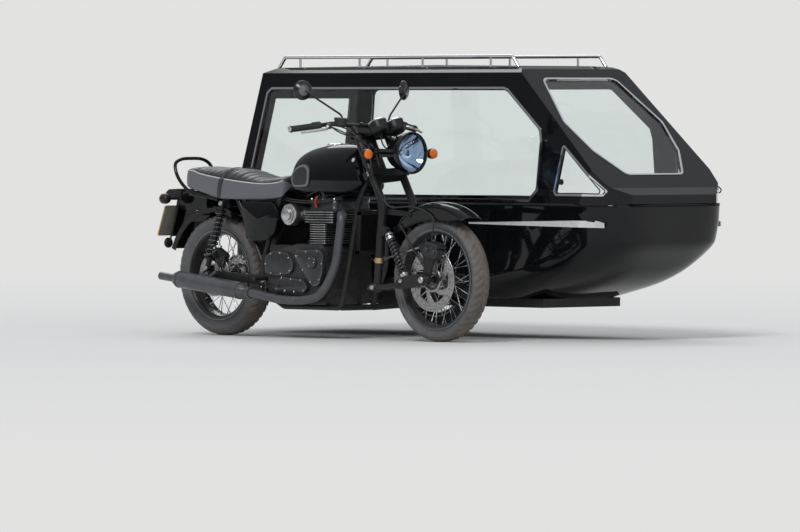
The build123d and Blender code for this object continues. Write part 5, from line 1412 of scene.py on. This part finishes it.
class OUTFIT_OT_lamps(Operator):
    """Headlight with its reflector, indicators, tail lamp and reflector disc"""

    bl_idname = "outfit.lamps"
    bl_label = "Lamps"

    def execute(self, context):
        self.headlight()
        self.front_indicators()
        self.tail()
        return {"FINISHED"}

    def headlight(self):
        """Turned bowl on two side brackets, its rim, a reflector as the parabola -78 + 72 * (r / 94) ** 2, the
        bulb, and a lens domed by 12 * (r / 94) ** 2."""
        at, axis = vec(*HEADLIGHT), (1, 0, 0)
        bowl = smooth_profile([(0, -142), (44, -134), (76, -96), (94, -46), (103, -18), (105, 0)], 40)
        shell = Skin().lathe(bowl.tolist() + [(98, 2), (98, -6), (70, -60), (0, -100)], at, axis, 72)
        ear = rounded([(1150, 926), (1196, 918), (1372, 926), (1378, 944), (1372, 962), (1196, 968),
                       (1154, 962)], 10)
        for side in (-1, 1):
            shell.plate(ear, side * 95, side * 99)
            shell.bolt((1362, side * 99, 944), (0, side, 0), 8, 6)
            shell.tube([(1186, side * 105, 900), (1168, side * 105, 980)], 27, 28)
        shell.piece("headlight_bowl", "gloss_black", "front_fork", smooth=50, nodes=("headlight_shell",))
        rim = Skin().lathe([(97, -3), (104, -4), (107, 2), (106, 9), (100, 12), (94, 9), (94, 3)], at, axis, 72)
        rim.piece("headlight_rim", "chrome", "front_fork", finish="gloss_black", smooth=50)
        r = np.linspace(14, 94, 26)
        dish = np.stack([r, -78 + 72 * (r / 94) ** 2], axis=1)
        mirror = Skin().lathe(np.concatenate([dish, dish[::-1] - vec(0, 3)]), at, axis, 72)
        mirror.lathe([(0, -70), (9, -70), (11, -44), (9, -36), (0, -34)], at, axis, 24)
        mirror.lathe([(13, -42), (17, -40), (17, -26), (0, -24), (0, -30), (13, -32)], at, axis, 28)
        mirror.piece("headlight_reflector", "chrome", "front_fork", smooth=50)
        t = np.linspace(0, 1, 16)
        front = np.stack([94 * t, 16 - 12 * t ** 2], axis=1)
        lens = Skin().lathe(np.concatenate([front, front[::-1] - vec(0, 3.5)]), at, axis, 72)
        lens.piece("headlight_glass", "lamp_glass", "front_fork", smooth=50, nodes=("headlight_lens",))

    def front_indicators(self):
        """Amber pods on round stalks beside the headlight."""
        dark, amber = Skin(), Skin()
        for side in (-1, 1):
            dark.tube([(1250, side * 99, 944), (1276, side * 204, 940)], 6.5, 16)
            self.pod(dark, amber, (1262, side * 226, 939), (1, 0, 0), 26, 54)
        dark.piece("front_indicator_bodies", "satin_black", "front_fork", smooth=45,
                   nodes=("front_indicators",))
        amber.piece("front_indicator_lenses", "amber", "front_fork", smooth=45)

    def tail(self):
        """Tail lamp as two rounded plates, its indicators on a cross tube, and a round reflector on a stalk."""
        dark, amber, red = Skin(), Skin(), Skin()
        dark.tube([(-330, -112, 700), (-330, 112, 700)], 7, 16)
        for side in (-1, 1):
            self.pod(dark, amber, (-306, side * 122, 700), (-1, 0, 0), 27, 58)
        case = rounded([(-296, 694), (-392, 698), (-410, 710), (-410, 736), (-392, 748), (-296, 752)], 9)
        dark.plate(case, -48, 48)
        lens = rounded([(-392, 706), (-416, 710), (-426, 722), (-416, 736), (-392, 740)], 8)
        red.plate(lens, -44, 44)
        place, back = (-334, -92, 472), (-1, 0, 0)
        dark.tube([(-322, -38, 690), (-334, -92, 480)], 5, 14)
        dark.lathe([(0, 0), (18, 1), (26, 6), (27, 16), (23, 16), (23, 14), (0, 14)], place, back, 36)
        red.lathe([(0, 14), (22.6, 14), (22, 17), (0, 18.5)], place, back, 36)
        dark.piece("tail_lamp_housings", "satin_black", "outfit", smooth=45, bevel=1.0, nodes=("tail_lamps",))
        red.piece("tail_lamp_lens", "red", "outfit", smooth=45, bevel=2.0)
        amber.piece("rear_indicator_lenses", "amber", "outfit", smooth=45)

    def pod(self, dark, lens, place, axis, r, deep):
        """Round indicator, turned: a black cup behind a domed lens."""
        cup = smooth_profile([(0, 0), (0.5 * r, 2), (0.86 * r, 12), (r, 26), (r, deep - 14)], 24)
        dark.lathe(cup.tolist() + [(0, deep - 14)], place, axis, 40)
        lens.lathe([(0, deep - 14.5), (0.95 * r, deep - 14.5), (0.95 * r, deep - 8), (0.86 * r, deep - 3),
                    (0.5 * r, deep - 0.6), (0, deep)], place, axis, 40)


class OUTFIT_OT_engine(Operator):
    """Engine covers, bright fin edges, throttle drums and plug leads"""

    bl_idname = "outfit.engine"
    bl_label = "Engine"

    CLUTCH = [(690, 448), (790, 320), (848, 264), (892, 272), (916, 330), (925, 430), (895, 455)]
    GEARS = [(470, 330), (560, 318), (670, 330), (686, 380), (640, 436), (540, 444), (470, 420)]
    SUMP = [(560, 238), (770, 234), (800, 262), (760, 300), (600, 312), (550, 268)]
    SPROCKET = [(595, 240), (640, 220), (700, 260), (700, 400), (640, 430), (595, 410)]

    def execute(self, context):
        self.covers()
        self.fins()
        self.drums()
        self.leads()
        return {"FINISHED"}

    def covers(self):
        """Domed covers on both sides of the case, their rims marked a little brighter, and the clutch's cap."""
        covers = Skin()
        outlines = [(-1, rounded(self.CLUTCH, 26, 10), 32, 12), (-1, rounded(self.GEARS, 34, 10), 16, 7),
                    (-1, rounded(self.SUMP, 18, 8), 22, 8), (1, rounded(self.SPROCKET, 20, 8), 20, 5),
                    (1, vec(800, 330) + circle(92, 120), 34, 12)]
        for side, line, edge, rise in outlines:
            fine = even(line, 120, closed=True)
            covers.pad(fine, CASE_Y, side, edge, rise, sink=4, rows=14,
                       mark=lambda s: 0.12 * ((s > 0.9) & (s < 0.985)))
            self.screws(covers, line if side < 0 else fine, side, edge)
        cap = [(0, -4), (31, -4), (32, 0), (32, 8), (28, 12), (12, 13), (0, 13)]
        covers.lathe(cap, (855, -192, 389), (0, -1, 0), 44)
        for x, z in circle(22, 3):
            covers.bolt((855 + x, -204, 389 + z), (0, -1, 0), 3.5, 3)
        self.cam(covers)
        covers.piece("engine_casings", "engine_grey", "outfit", finish="cover_grey", smooth=45,
                     nodes=("engine_covers",))

    def screws(self, skin, line, side, edge):
        """Seven socket screws round a cover's flange, at nine tenths of the way from its middle."""
        mid = line.mean(axis=0)
        for x, z in mid + 0.9 * (even(line, 7, closed=True) - mid):
            skin.bolt((x, side * (CASE_Y + edge), z), (0, side, 0), 5.5, 5.5)

    def cam(self, skin):
        """Cam cover: a rounded rectangle, drawn in towards its middle as it rises."""
        base = rounded([(760, -132), (956, -132), (956, 132), (760, 132)], 30, 8)
        mid = base.mean(axis=0)
        steps = ((0.4, 649), (1.0, 649), (1.0, 662), (0.97, 668), (0.97, 690), (0.93, 706), (0.84, 716),
                 (0.6, 721), (0.3, 722))
        rows = [np.column_stack([mid + s * (base - mid), np.full(len(base), z)]) for s, z in steps]
        skin.grid(np.array(rows), caps=True)
        for x in (775, 858, 941):
            for y in (-118, 118):
                skin.bolt((x, y, 690), (0, 0, 1), 7, 24)

    def fins(self):
        """Bright cut edges of the cooling fins: one thin ring round each."""
        edge = Skin()
        for x0, x1, z0, z1, count, half in ((784, 902, 480, 586, 9, 150), (754, 961, 586, 650, 5, 156)):
            pitch = (z1 - z0) / count
            for k in range(count):
                line = rounded([(x0, -half), (x1, -half), (x1, half), (x0, half)], 14, 6)
                path = np.column_stack([line, np.full(len(line), z0 + (k + 0.5) * pitch)])
                edge.tube(even(path, 120, closed=True), 1.7, 6, closed=True)
        edge.piece("fin_edges", "alloy", "outfit", smooth=60)

    def drums(self):
        """Round throttle housings with ringed caps, and the rubbers between them and the head, all turned."""
        drum, rubber = Skin(), Skin()
        x, z = THROTTLE_X, THROTTLE_Z
        ringed = [(0, 92), (50, 92), (56, 98), (56, 132), (52, 138), (44, 140), (42, 146), (34, 147), (33, 158),
                  (28, 162), (0, 162)]
        sleeve = [(26, -12), (31, -12), (32, -6), (32, 6), (31, 12), (26, 12)]
        for side in (-1, 1):
            drum.lathe(ringed, (x, 0, z), (0, side, 0), 56)
            for a in ring(4) + 0.6:
                drum.bolt((x + 47 * np.cos(a), side * 138, z + 47 * np.sin(a)), (0, side, 0), 4, 4)
            drum.tube([(545, side * 62, 640), (768, side * 62, 618)], 26, 32)
            for place in ((700, side * 62, 624.6), (560, side * 62, 638.4)):
                rubber.lathe(sleeve, place, (1, 0, -0.1), 36)
        drum.tube([(x + 16, -96, z + 4), (x + 16, 96, z + 4)], 34, 32)
        drum.piece("throttle_drums", "alloy", "outfit", nodes=("throttle_bodies",))
        rubber.piece("inlet_rubbers", "rubber", "outfit")

    def leads(self):
        """Plug leads over the head, a red sleeve and the bundle under the tank, as smooth round wires."""
        black, sleeve = Skin(), Skin()
        for side in (-1, 1):
            black.lathe([(0, 0), (9, 0), (10, 6), (8, 30), (7, 46), (0, 48)], (870, side * 116, 708),
                        (-0.2, side * 0.3, 1), 20)
            route = [(866, 124, 746), (840, 134, 752), (790, 128, 738), (740, 112, 724), (690, 70, 718)]
            black.tube(spline(sided(route, side), 50), 3.6, 10)
        for y, z in ((-122, 706), (-128, 696)):
            route = [(980, y + 30, z + 16), (900, y - 12, z), (760, y - 14, z - 6), (650, y - 6, z - 2),
                     (560, y + 20, z + 6)]
            black.tube(spline(route, 60), 3.4, 10)
        red = spline([(832, -134, 722), (828, -141, 706), (826, -141, 686), (828, -136, 666)], 30)
        sleeve.tube(red, 6.0, 12)
        black.piece("ignition_leads", "rubber", "outfit", smooth=60)
        sleeve.piece("red_sleeve", "rubber", "outfit", finish="lead_red", smooth=60)


class OUTFIT_OT_exhausts(Operator):
    """Swept pipes, clamps and straight silencers"""

    bl_idname = "outfit.exhausts"
    bl_label = "Exhausts"

    ROUTE = [(947, 88, 622), (1006, 130, 622), (1012, 156, 490), (998, 170, 370), (922, 180, 246),
             (828, 186, 202), (640, 192, 196), (430, 198, 224), (372, 200, 232), (330, 200, 236.6)]

    def execute(self, context):
        """Round pipes carried along their smooth routes, and silencers turned about the line of SILENCER."""
        pipes = Skin()
        for side in (-1, 1):
            a, b = sided(SILENCER, side)
            axis = unit(b - a)
            end = np.linalg.norm(b - a)
            pipes.tube(even(spline(sided(self.ROUTE, side), 260), 110), 22, 32)
            can = [(0, 2), (24, 2), (27, 8), (34, 20), (40, 36), (42.5, 60), (43, 200), (43, 480), (41.5, 520),
                   (34, 538), (22, 548), (20.5, 556), (20.5, end), (17, end), (17, 560), (0, 560)]
            pipes.lathe(can, a, axis, 56)
            for d in (44, 505):
                pipes.lathe([(41.5, d), (44.6, d), (44.6, d + 9), (41.5, d + 9)], a, axis, 56)
            clamp = [(22, -30), (27, -30), (27.5, -26), (27.5, -8), (27, -4), (22, -4)]
            pipes.lathe(clamp, a, axis, 40)
            pipes.bolt(a - axis * 17 + vec(0, -side * 4, -28), (0, -side, 0), 5, 16)
            flange = [(21, -6), (33, -6), (33, 4), (21, 4)]
            pipes.lathe(flange, (952, side * 90, 623), (1, side * 0.6, 0.1), 36)
            hang = a + axis * 330
            pipes.tube([hang + vec(0, -side * 30, 28), (hang[0] + 30, side * 140, 330)], 8, 14)
        pipes.piece("exhaust_pipes", "exhaust_black", "outfit", smooth=45, nodes=("exhausts",))
        return {"FINISHED"}


class OUTFIT_OT_running_gear(Operator):
    """Chain, radiator core, grab rail, side panels, number plate and frame bolts"""

    bl_idname = "outfit.running_gear"
    bl_label = "Running gear"

    def execute(self, context):
        self.chain()
        self.radiator()
        self.rail()
        self.panels()
        self.plate()
        self.bolts()
        return {"FINISHED"}

    def chain(self):
        """Links at even steps round the loop over both sprockets: two shaped side plates and a roller each."""
        near, far = vec(REAR_X, AXLE_Z), vec(SPROCKET_X, SPROCKET_Z)
        big, small = 97.0, 40.0
        run = far - near
        tilt = np.arctan2(run[1], run[0])
        open_angle = np.arccos((big - small) / np.linalg.norm(run))
        t0 = np.linspace(tilt + open_angle, tilt + TAU - open_angle, 60)
        t1 = np.linspace(tilt - open_angle, tilt + open_angle, 30)
        loop = np.concatenate([near + big * np.stack([np.cos(t0), np.sin(t0)], axis=1),
                               far + small * np.stack([np.cos(t1), np.sin(t1)], axis=1)])
        at = even(loop, 112, closed=True)
        links = Skin()
        for k, (p, q) in enumerate(zip(at, np.roll(at, -1, axis=0))):
            self.link(links, p, q, 2.6 if k % 2 else 0.9)
        links.lathe([(0, 60), (20, 60), (36, 79), (36, 88), (24, 89), (24, 94), (0, 94)],
                    (SPROCKET_X, 0, SPROCKET_Z), (0, 1, 0), 36)
        links.piece("chain_links", "steel", "outfit", smooth=30, nodes=("drive_chain",))

    def link(self, links, p, q, reach):
        """Side plates rounded about both pins, at reach past the roller, and a roller on the first pin."""
        u = unit(q - p)
        n = vec(-u[1], u[0])
        turn = np.linspace(-1.5, 1.5, 5)[:, None]
        line = np.concatenate([p + 4.4 * (np.sin(turn) * n - np.cos(turn) * u),
                               q + 4.4 * (np.cos(turn) * u - np.sin(turn) * n)])[::-1]
        for side in (-1, 1):
            y = CHAIN_Y + side * (4.2 + reach)
            links.grid(self.standing(line, (y, y + side * 1.6)), caps=True)
        links.grid(self.standing(p + circle(3.6, 8), (CHAIN_Y - 6, CHAIN_Y + 6)), caps=True)

    def standing(self, line, places):
        """Side-view outline repeated at each place across."""
        return np.array([np.column_stack([line[:, 0], np.full(len(line), y), line[:, 1]]) for y in places])

    def radiator(self):
        """Core of thin fins between two tanks, on a line that leans ahead by 14 in 220."""
        core = Skin()

        def lean(z):
            return 1062 + (z - 430) / 220 * 14

        def bar(z0, z1, y, half, back, front):
            corners = ((back, -half), (front, -half), (front, half), (back, half))
            rows = [[(lean(z) + x, y + across, z) for x, across in corners] for z in (z0, z1)]
            core.grid(np.array(rows, float), caps=True)

        for z in np.linspace(452, 628, 30):
            core.box((lean(z) + 15, 0, z), (27, 164, 1.6))
        for y in np.linspace(-78, 78, 14):
            bar(440, 640, y, 2, 5, 25)
        for z in (440, 640):
            core.box((lean(z) + 15, 0, z), (30, 176, 20))
        for y in (-85, 85):
            bar(432, 648, y, 3, 0, 30)
        core.piece("radiator_core", "satin_black", "outfit", smooth=30, nodes=("radiator",))

    def rail(self):
        """Round loop behind the seat, carried forward under its edge along a smooth line."""
        half = [(90, 139, 700), (-100, 139, 730), (-180, 137, 770), (-236, 132, 826), (-262, 118, 880),
                (-268, 70, 904), (-268, 0, 908)]
        line = np.concatenate([half, sided(half[-2::-1], -1)])
        loop = Skin().tube(even(spline(line, 240), 160), 9, 18)
        for side in (-1, 1):
            for x, z in ((70, 704), (-90, 728)):
                loop.tube([(x, side * 112, 730), (x, side * 140, z)], 8, 14)
                loop.bolt((x, side * 146, z), (0, side, 0), 6, 5)
        loop.piece("grab_loop", "satin_black", "outfit", finish="gloss_black", smooth=60, nodes=("grab_rail",))

    def panels(self):
        """Domed side panels between the seat and the engine, and bosses at their corners."""
        skin = Skin()
        line = rounded([(282, 690), (520, 690), (550, 656), (556, 604), (536, 536), (482, 496), (346, 490),
                        (318, 540), (292, 620)], 34, 9)
        for side in (-1, 1):
            skin.pad(even(line, 140, closed=True), 149, side, 10, 10, power=2.0, rows=18, sink=12)
            for x, z in ((312, 668), (522, 660), (500, 520)):
                skin.bolt((x, side * 160, z), (0, side, 0), 5, 4)
        skin.piece("side_covers", "gloss_black", "outfit", smooth=50, nodes=("side_panels",))

    def plate(self):
        """Blank yellow plate on a grey backing, each a rounded outline at two depths, closed to its middle."""
        top, low = vec(-342, 662), vec(-402, 506)
        reach = (low - top) / 2
        out = vec(reach[1], -reach[0]) / np.linalg.norm(reach)
        wide, tall = 115, 83
        layers = (("plate_backing", "plate_back", 0.0, 4.5, -2.5, ()),
                  ("plate_face", "plate_yellow", 4.5, 7.5, 0.0, ("number_plate",)))
        for name, finish, d0, d1, grow, nodes in layers:
            w, h = wide + grow, tall + grow
            outline = rounded([(-w, -h), (w, -h), (w, h), (-w, h)], 12, 6)
            rows = []
            for d, s in ((d0, 0.0), (d0, 1.0), (d1, 1.0), (d1, 0.0)):
                p = (top + low) / 2 + out * d + s * outline[:, 1:] / tall * reach
                rows.append(np.column_stack([p[:, 0], s * outline[:, 0], p[:, 1]]))
            Skin().grid(np.array(rows)).piece(name, "plate_yellow", "outfit", finish=finish, smooth=30,
                                              nodes=nodes)

    def bolts(self):
        """Nuts and bolts on the frame, the axle and the rear shock absorbers."""
        steel = Skin()
        for side in (-1, 1):
            steel.bolt((REAR_X, side * 130, AXLE_Z), (0, side, 0), 15, 12, socket=False)
            steel.bolt((430, side * 138, 290), (0, side, 0), 13, 8, socket=False)
            for x, z in ((415, 256), (450, 256), (432, 400)):
                steel.bolt((x, side * 138, z), (0, side, 0), 6, 5)
            steel.bolt((-34, side * 122, AXLE_Z), (0, side, 0), 6, 6, socket=False)
            for x, _, z in REAR_SHOCK:
                steel.lathe([(0, 0), (13, 0), (13, 6), (10, 10), (0, 11)], (x, side * 152, z), (0, side, 0), 24)
        steel.piece("frame_fastenings", "steel", "outfit", smooth=30)


def hull_bend(z):
    """Where the lower body's side starts to bend in at a height, and the power of its nose's curve there."""
    depth = (BELT_Z - z) / (BELT_Z - FLOOR_Z)
    return 1700 - 500 * depth, 6.0 - 3.2 * np.clip(depth * 1.3 - 0.25, 0, 1)


def hull_half(x, z):
    """Half width of the lower body where it is widest: half * (1 - along ** n) ** (1 / n), a superellipse from
    where its nose starts to bend in."""
    start, power = hull_bend(z)
    along = np.clip((x - start) / (NOSE_X - start), 0, 1)
    return BODY_HALF * (1 - along ** power) ** (1 / power)


def side_face(z, side):
    """Distance of the sidecar's side from the motorcycle's middle plane, at a height."""
    return BODY_MID_Y + side * (BODY_HALF - LEAN * np.maximum(z - BELT_Z, 0))


class OUTFIT_OT_sidecar(Operator):
    """Window seals, the white strip and the hatch knobs"""

    bl_idname = "outfit.sidecar"
    bl_label = "Sidecar"

    WINDOW = [(-376, 708), (-268, 1244), (-240, 1266), (1490, 1266), (1520, 1258), (1772, 1062), (1786, 1010),
              (1782, 760), (1730, 708)]
    HATCH = [(1955, 975), (1916, 752), (1926, 740), (2228, 740), (2238, 756)]
    KNOB = (1958.0, 799.0)

    def execute(self, context):
        self.seals()
        self.strip()
        self.knobs()
        return {"FINISHED"}

    def seals(self):
        """Round rubber carried round each opening, 3 mm inside its edge, on the leaning side."""
        seals = Skin()
        for side in (-1, 1):
            for outline, radius in ((self.WINDOW, 14), (self.HATCH, 6)):
                line = even(rounded(outline, radius), 260, closed=True)
                line = line - 3 * unit(line - line.mean(axis=0))
                path = np.stack([line[:, 0], side_face(line[:, 1], side), line[:, 1]], axis=1)
                seals.tube(path, 3.2, 8, closed=True)
        seals.piece("window_seals", "rubber", "outfit", smooth=60)

    def strip(self):
        """Tapering strip along the tub: four corners at each place, 5 mm deep, standing off the body's half
        width, flat over the solid strip and then round the start of the nose."""
        x = np.concatenate([np.linspace(1300, 2000, 8), np.linspace(2030, 2246, 18)])
        low = np.interp(x, [1300, 1500, 2060, 2246], [583.5, 580, 573, 571])
        high = np.interp(x, [1300, 1500, 2060, 2200, 2246], [590.5, 594, 606.5, 606, 596])
        strip = Skin()
        for side, edge in ((-1, BODY_HALF + 3.2), (1, BODY_HALF + 2)):
            over = np.maximum(hull_half(x, 588.0) + 3.2, np.interp(x, [2092, 2150], [edge, 420]))
            y1 = BODY_MID_Y + side * np.minimum(over, edge)
            y0 = y1 - side * 5
            corners = [np.stack([x, y, z], axis=1) for y, z in ((y0, low), (y1, low), (y1, high), (y0, high))]
            strip.grid(np.stack(corners, axis=1), caps=True)
        strip.piece("white_strip", "chrome", "outfit", finish="strip_white", smooth=30)

    def knobs(self):
        """Turned knob on each hatch."""
        x, z = self.KNOB
        knob = Skin()
        for side in (-1, 1):
            place = (x, side_face(z, side) + side * 2, z)
            knob.lathe([(0, 0), (15, 0), (15, 2), (9, 4), (8, 6), (14, 8), (14, 10), (0, 11)], place,
                       (0, side, 0), 32)
        knob.piece("hatch_knobs", "satin_black", "outfit")


class OUTFIT_OT_tub(Operator):
    """Smooth lower body of the sidecar, open for its wheel on the far side"""

    bl_idname = "outfit.tub"
    bl_label = "Tub"

    REACH = [(205, 1700), (226, 1796), (278, 1990), (340, 2132), (420, 2250), (490, 2322), (560, 2330),
             (620, 2330), (690, 2330)]
    WIDE = [(205, 384), (226, 402), (270, 424), (330, 438), (400, 440), (690, 440)]

    def execute(self, context):
        points = self.shell()
        tub = Skin().grid(points, keep=self.arch(points))
        tub.piece("sidecar_lower_body", "gloss_black", "outfit", smooth=55, solid=4.0, nodes=("sidecar_tub",))
        return {"FINISHED"}

    def shell(self):
        """Outlines at each height, then rows drawn in to the floor's middle: straight sides, and a nose where x
        = start + reach * sin t ** (2 / n) and y = half * cos t ** (2 / n)."""
        z = np.concatenate([np.linspace(BELT_Z - 0.5, 530, 12), np.linspace(515, FLOOR_Z + 1, 34)])
        reach, wide = spline(self.REACH, 200), spline(self.WIDE, 200)
        ahead = np.minimum(np.interp(z, reach[:, 0], reach[:, 1]), NOSE_X)
        half = np.interp(z, wide[:, 0], np.minimum(wide[:, 1], BODY_HALF))
        t = np.linspace(0, np.pi / 2, 70)[1:]
        walls = []
        start, power = hull_bend(z)
        for x0, x1, h, n in zip(start, ahead, half, power):
            corner = np.array([[-460, 0], [-460, h - 30], [-457, h - 14], [-447, h - 4]])
            nose = x0 + (x1 - x0) * np.sin(t) ** (2 / n)
            x = np.concatenate([corner[:, 0], np.linspace(-433, x0, 150), nose])
            y = np.concatenate([corner[:, 1], np.full(150, h), h * np.cos(t) ** (2 / n)])
            x = np.concatenate([x, x[-2:0:-1]])
            y = np.concatenate([y, -y[-2:0:-1]])
            walls.append(np.stack([x, y + BODY_MID_Y], axis=1))
        walls = np.array(walls)
        walls = np.concatenate([walls, np.repeat(z[:, None, None], walls.shape[1], axis=1)], axis=2)
        mid = vec(640, BODY_MID_Y, FLOOR_Z)
        rim = walls[-1] - vec(0, 0, 1) - mid
        floor = np.stack([mid + rim * vec(s, s, 1) for s in np.linspace(0.98, 0, 14)])
        return np.concatenate([walls, floor])

    def arch(self, points):
        """Moves the points near the wheel arch onto its circle, and gives the quads to keep, outside it."""
        w = WHEELS["sidecar"]
        away = np.hypot(points[..., 0] - w["x"], points[..., 2] - w["r"])
        far = points[..., 1] > 1180
        pull = np.where(far & (np.abs(away - ARCH_R) < 7), ARCH_R / away, 1.0)
        points[..., 0] = w["x"] + (points[..., 0] - w["x"]) * pull
        points[..., 2] = w["r"] + (points[..., 2] - w["r"]) * pull
        inside = far & (away < ARCH_R - 0.5)
        drop = inside | np.roll(inside, -1, axis=1)
        return ~(drop[:-1] | drop[1:])


GROUPS = ("stage", "finishes", "tyres", "wheels", "discs", "tank", "seat", "fork", "brakes", "guards",
          "cockpit", "lamps", "engine", "exhausts", "running_gear", "sidecar", "tub")


class OUTFIT_PT_panel(Panel):
    """Lists the groups and their settings"""

    bl_label = "Outfit"
    bl_space_type = "VIEW_3D"
    bl_region_type = "UI"
    bl_category = "Outfit"

    def draw(self, context):
        s = context.scene.outfit
        for name in GROUPS:
            self.layout.operator(f"outfit.{name}")
        for group, names in ((s.stage, ("floor", "sky", "key")), (s.wheel, ("grooves", "depth", "spokes")),
                             (s.seat, ("ribs", "rise")), (s.spring, ("turns", "wire"))):
            for name in names:
                self.layout.prop(group, name)


CLASSES = (StageSettings, WheelSettings, SeatSettings, SpringSettings, OutfitSettings, OUTFIT_OT_stage,
           OUTFIT_OT_finishes, OUTFIT_OT_tyres, OUTFIT_OT_wheels, OUTFIT_OT_discs, OUTFIT_OT_tank,
           OUTFIT_OT_seat, OUTFIT_OT_fork, OUTFIT_OT_brakes, OUTFIT_OT_guards, OUTFIT_OT_cockpit,
           OUTFIT_OT_lamps, OUTFIT_OT_engine, OUTFIT_OT_exhausts, OUTFIT_OT_running_gear, OUTFIT_OT_sidecar,
           OUTFIT_OT_tub, OUTFIT_PT_panel)


def register():
    """Adds the classes and the scene's settings."""
    for c in CLASSES:
        bpy.utils.register_class(c)
    bpy.types.Scene.outfit = PointerProperty(type=OutfitSettings)


def unregister():
    """Takes them out again."""
    del bpy.types.Scene.outfit
    for c in reversed(CLASSES):
        bpy.utils.unregister_class(c)


def main():
    """Makes every group in order."""
    register()
    for name in GROUPS:
        getattr(bpy.ops.outfit, name)()


if __name__ == "__main__":
    main()
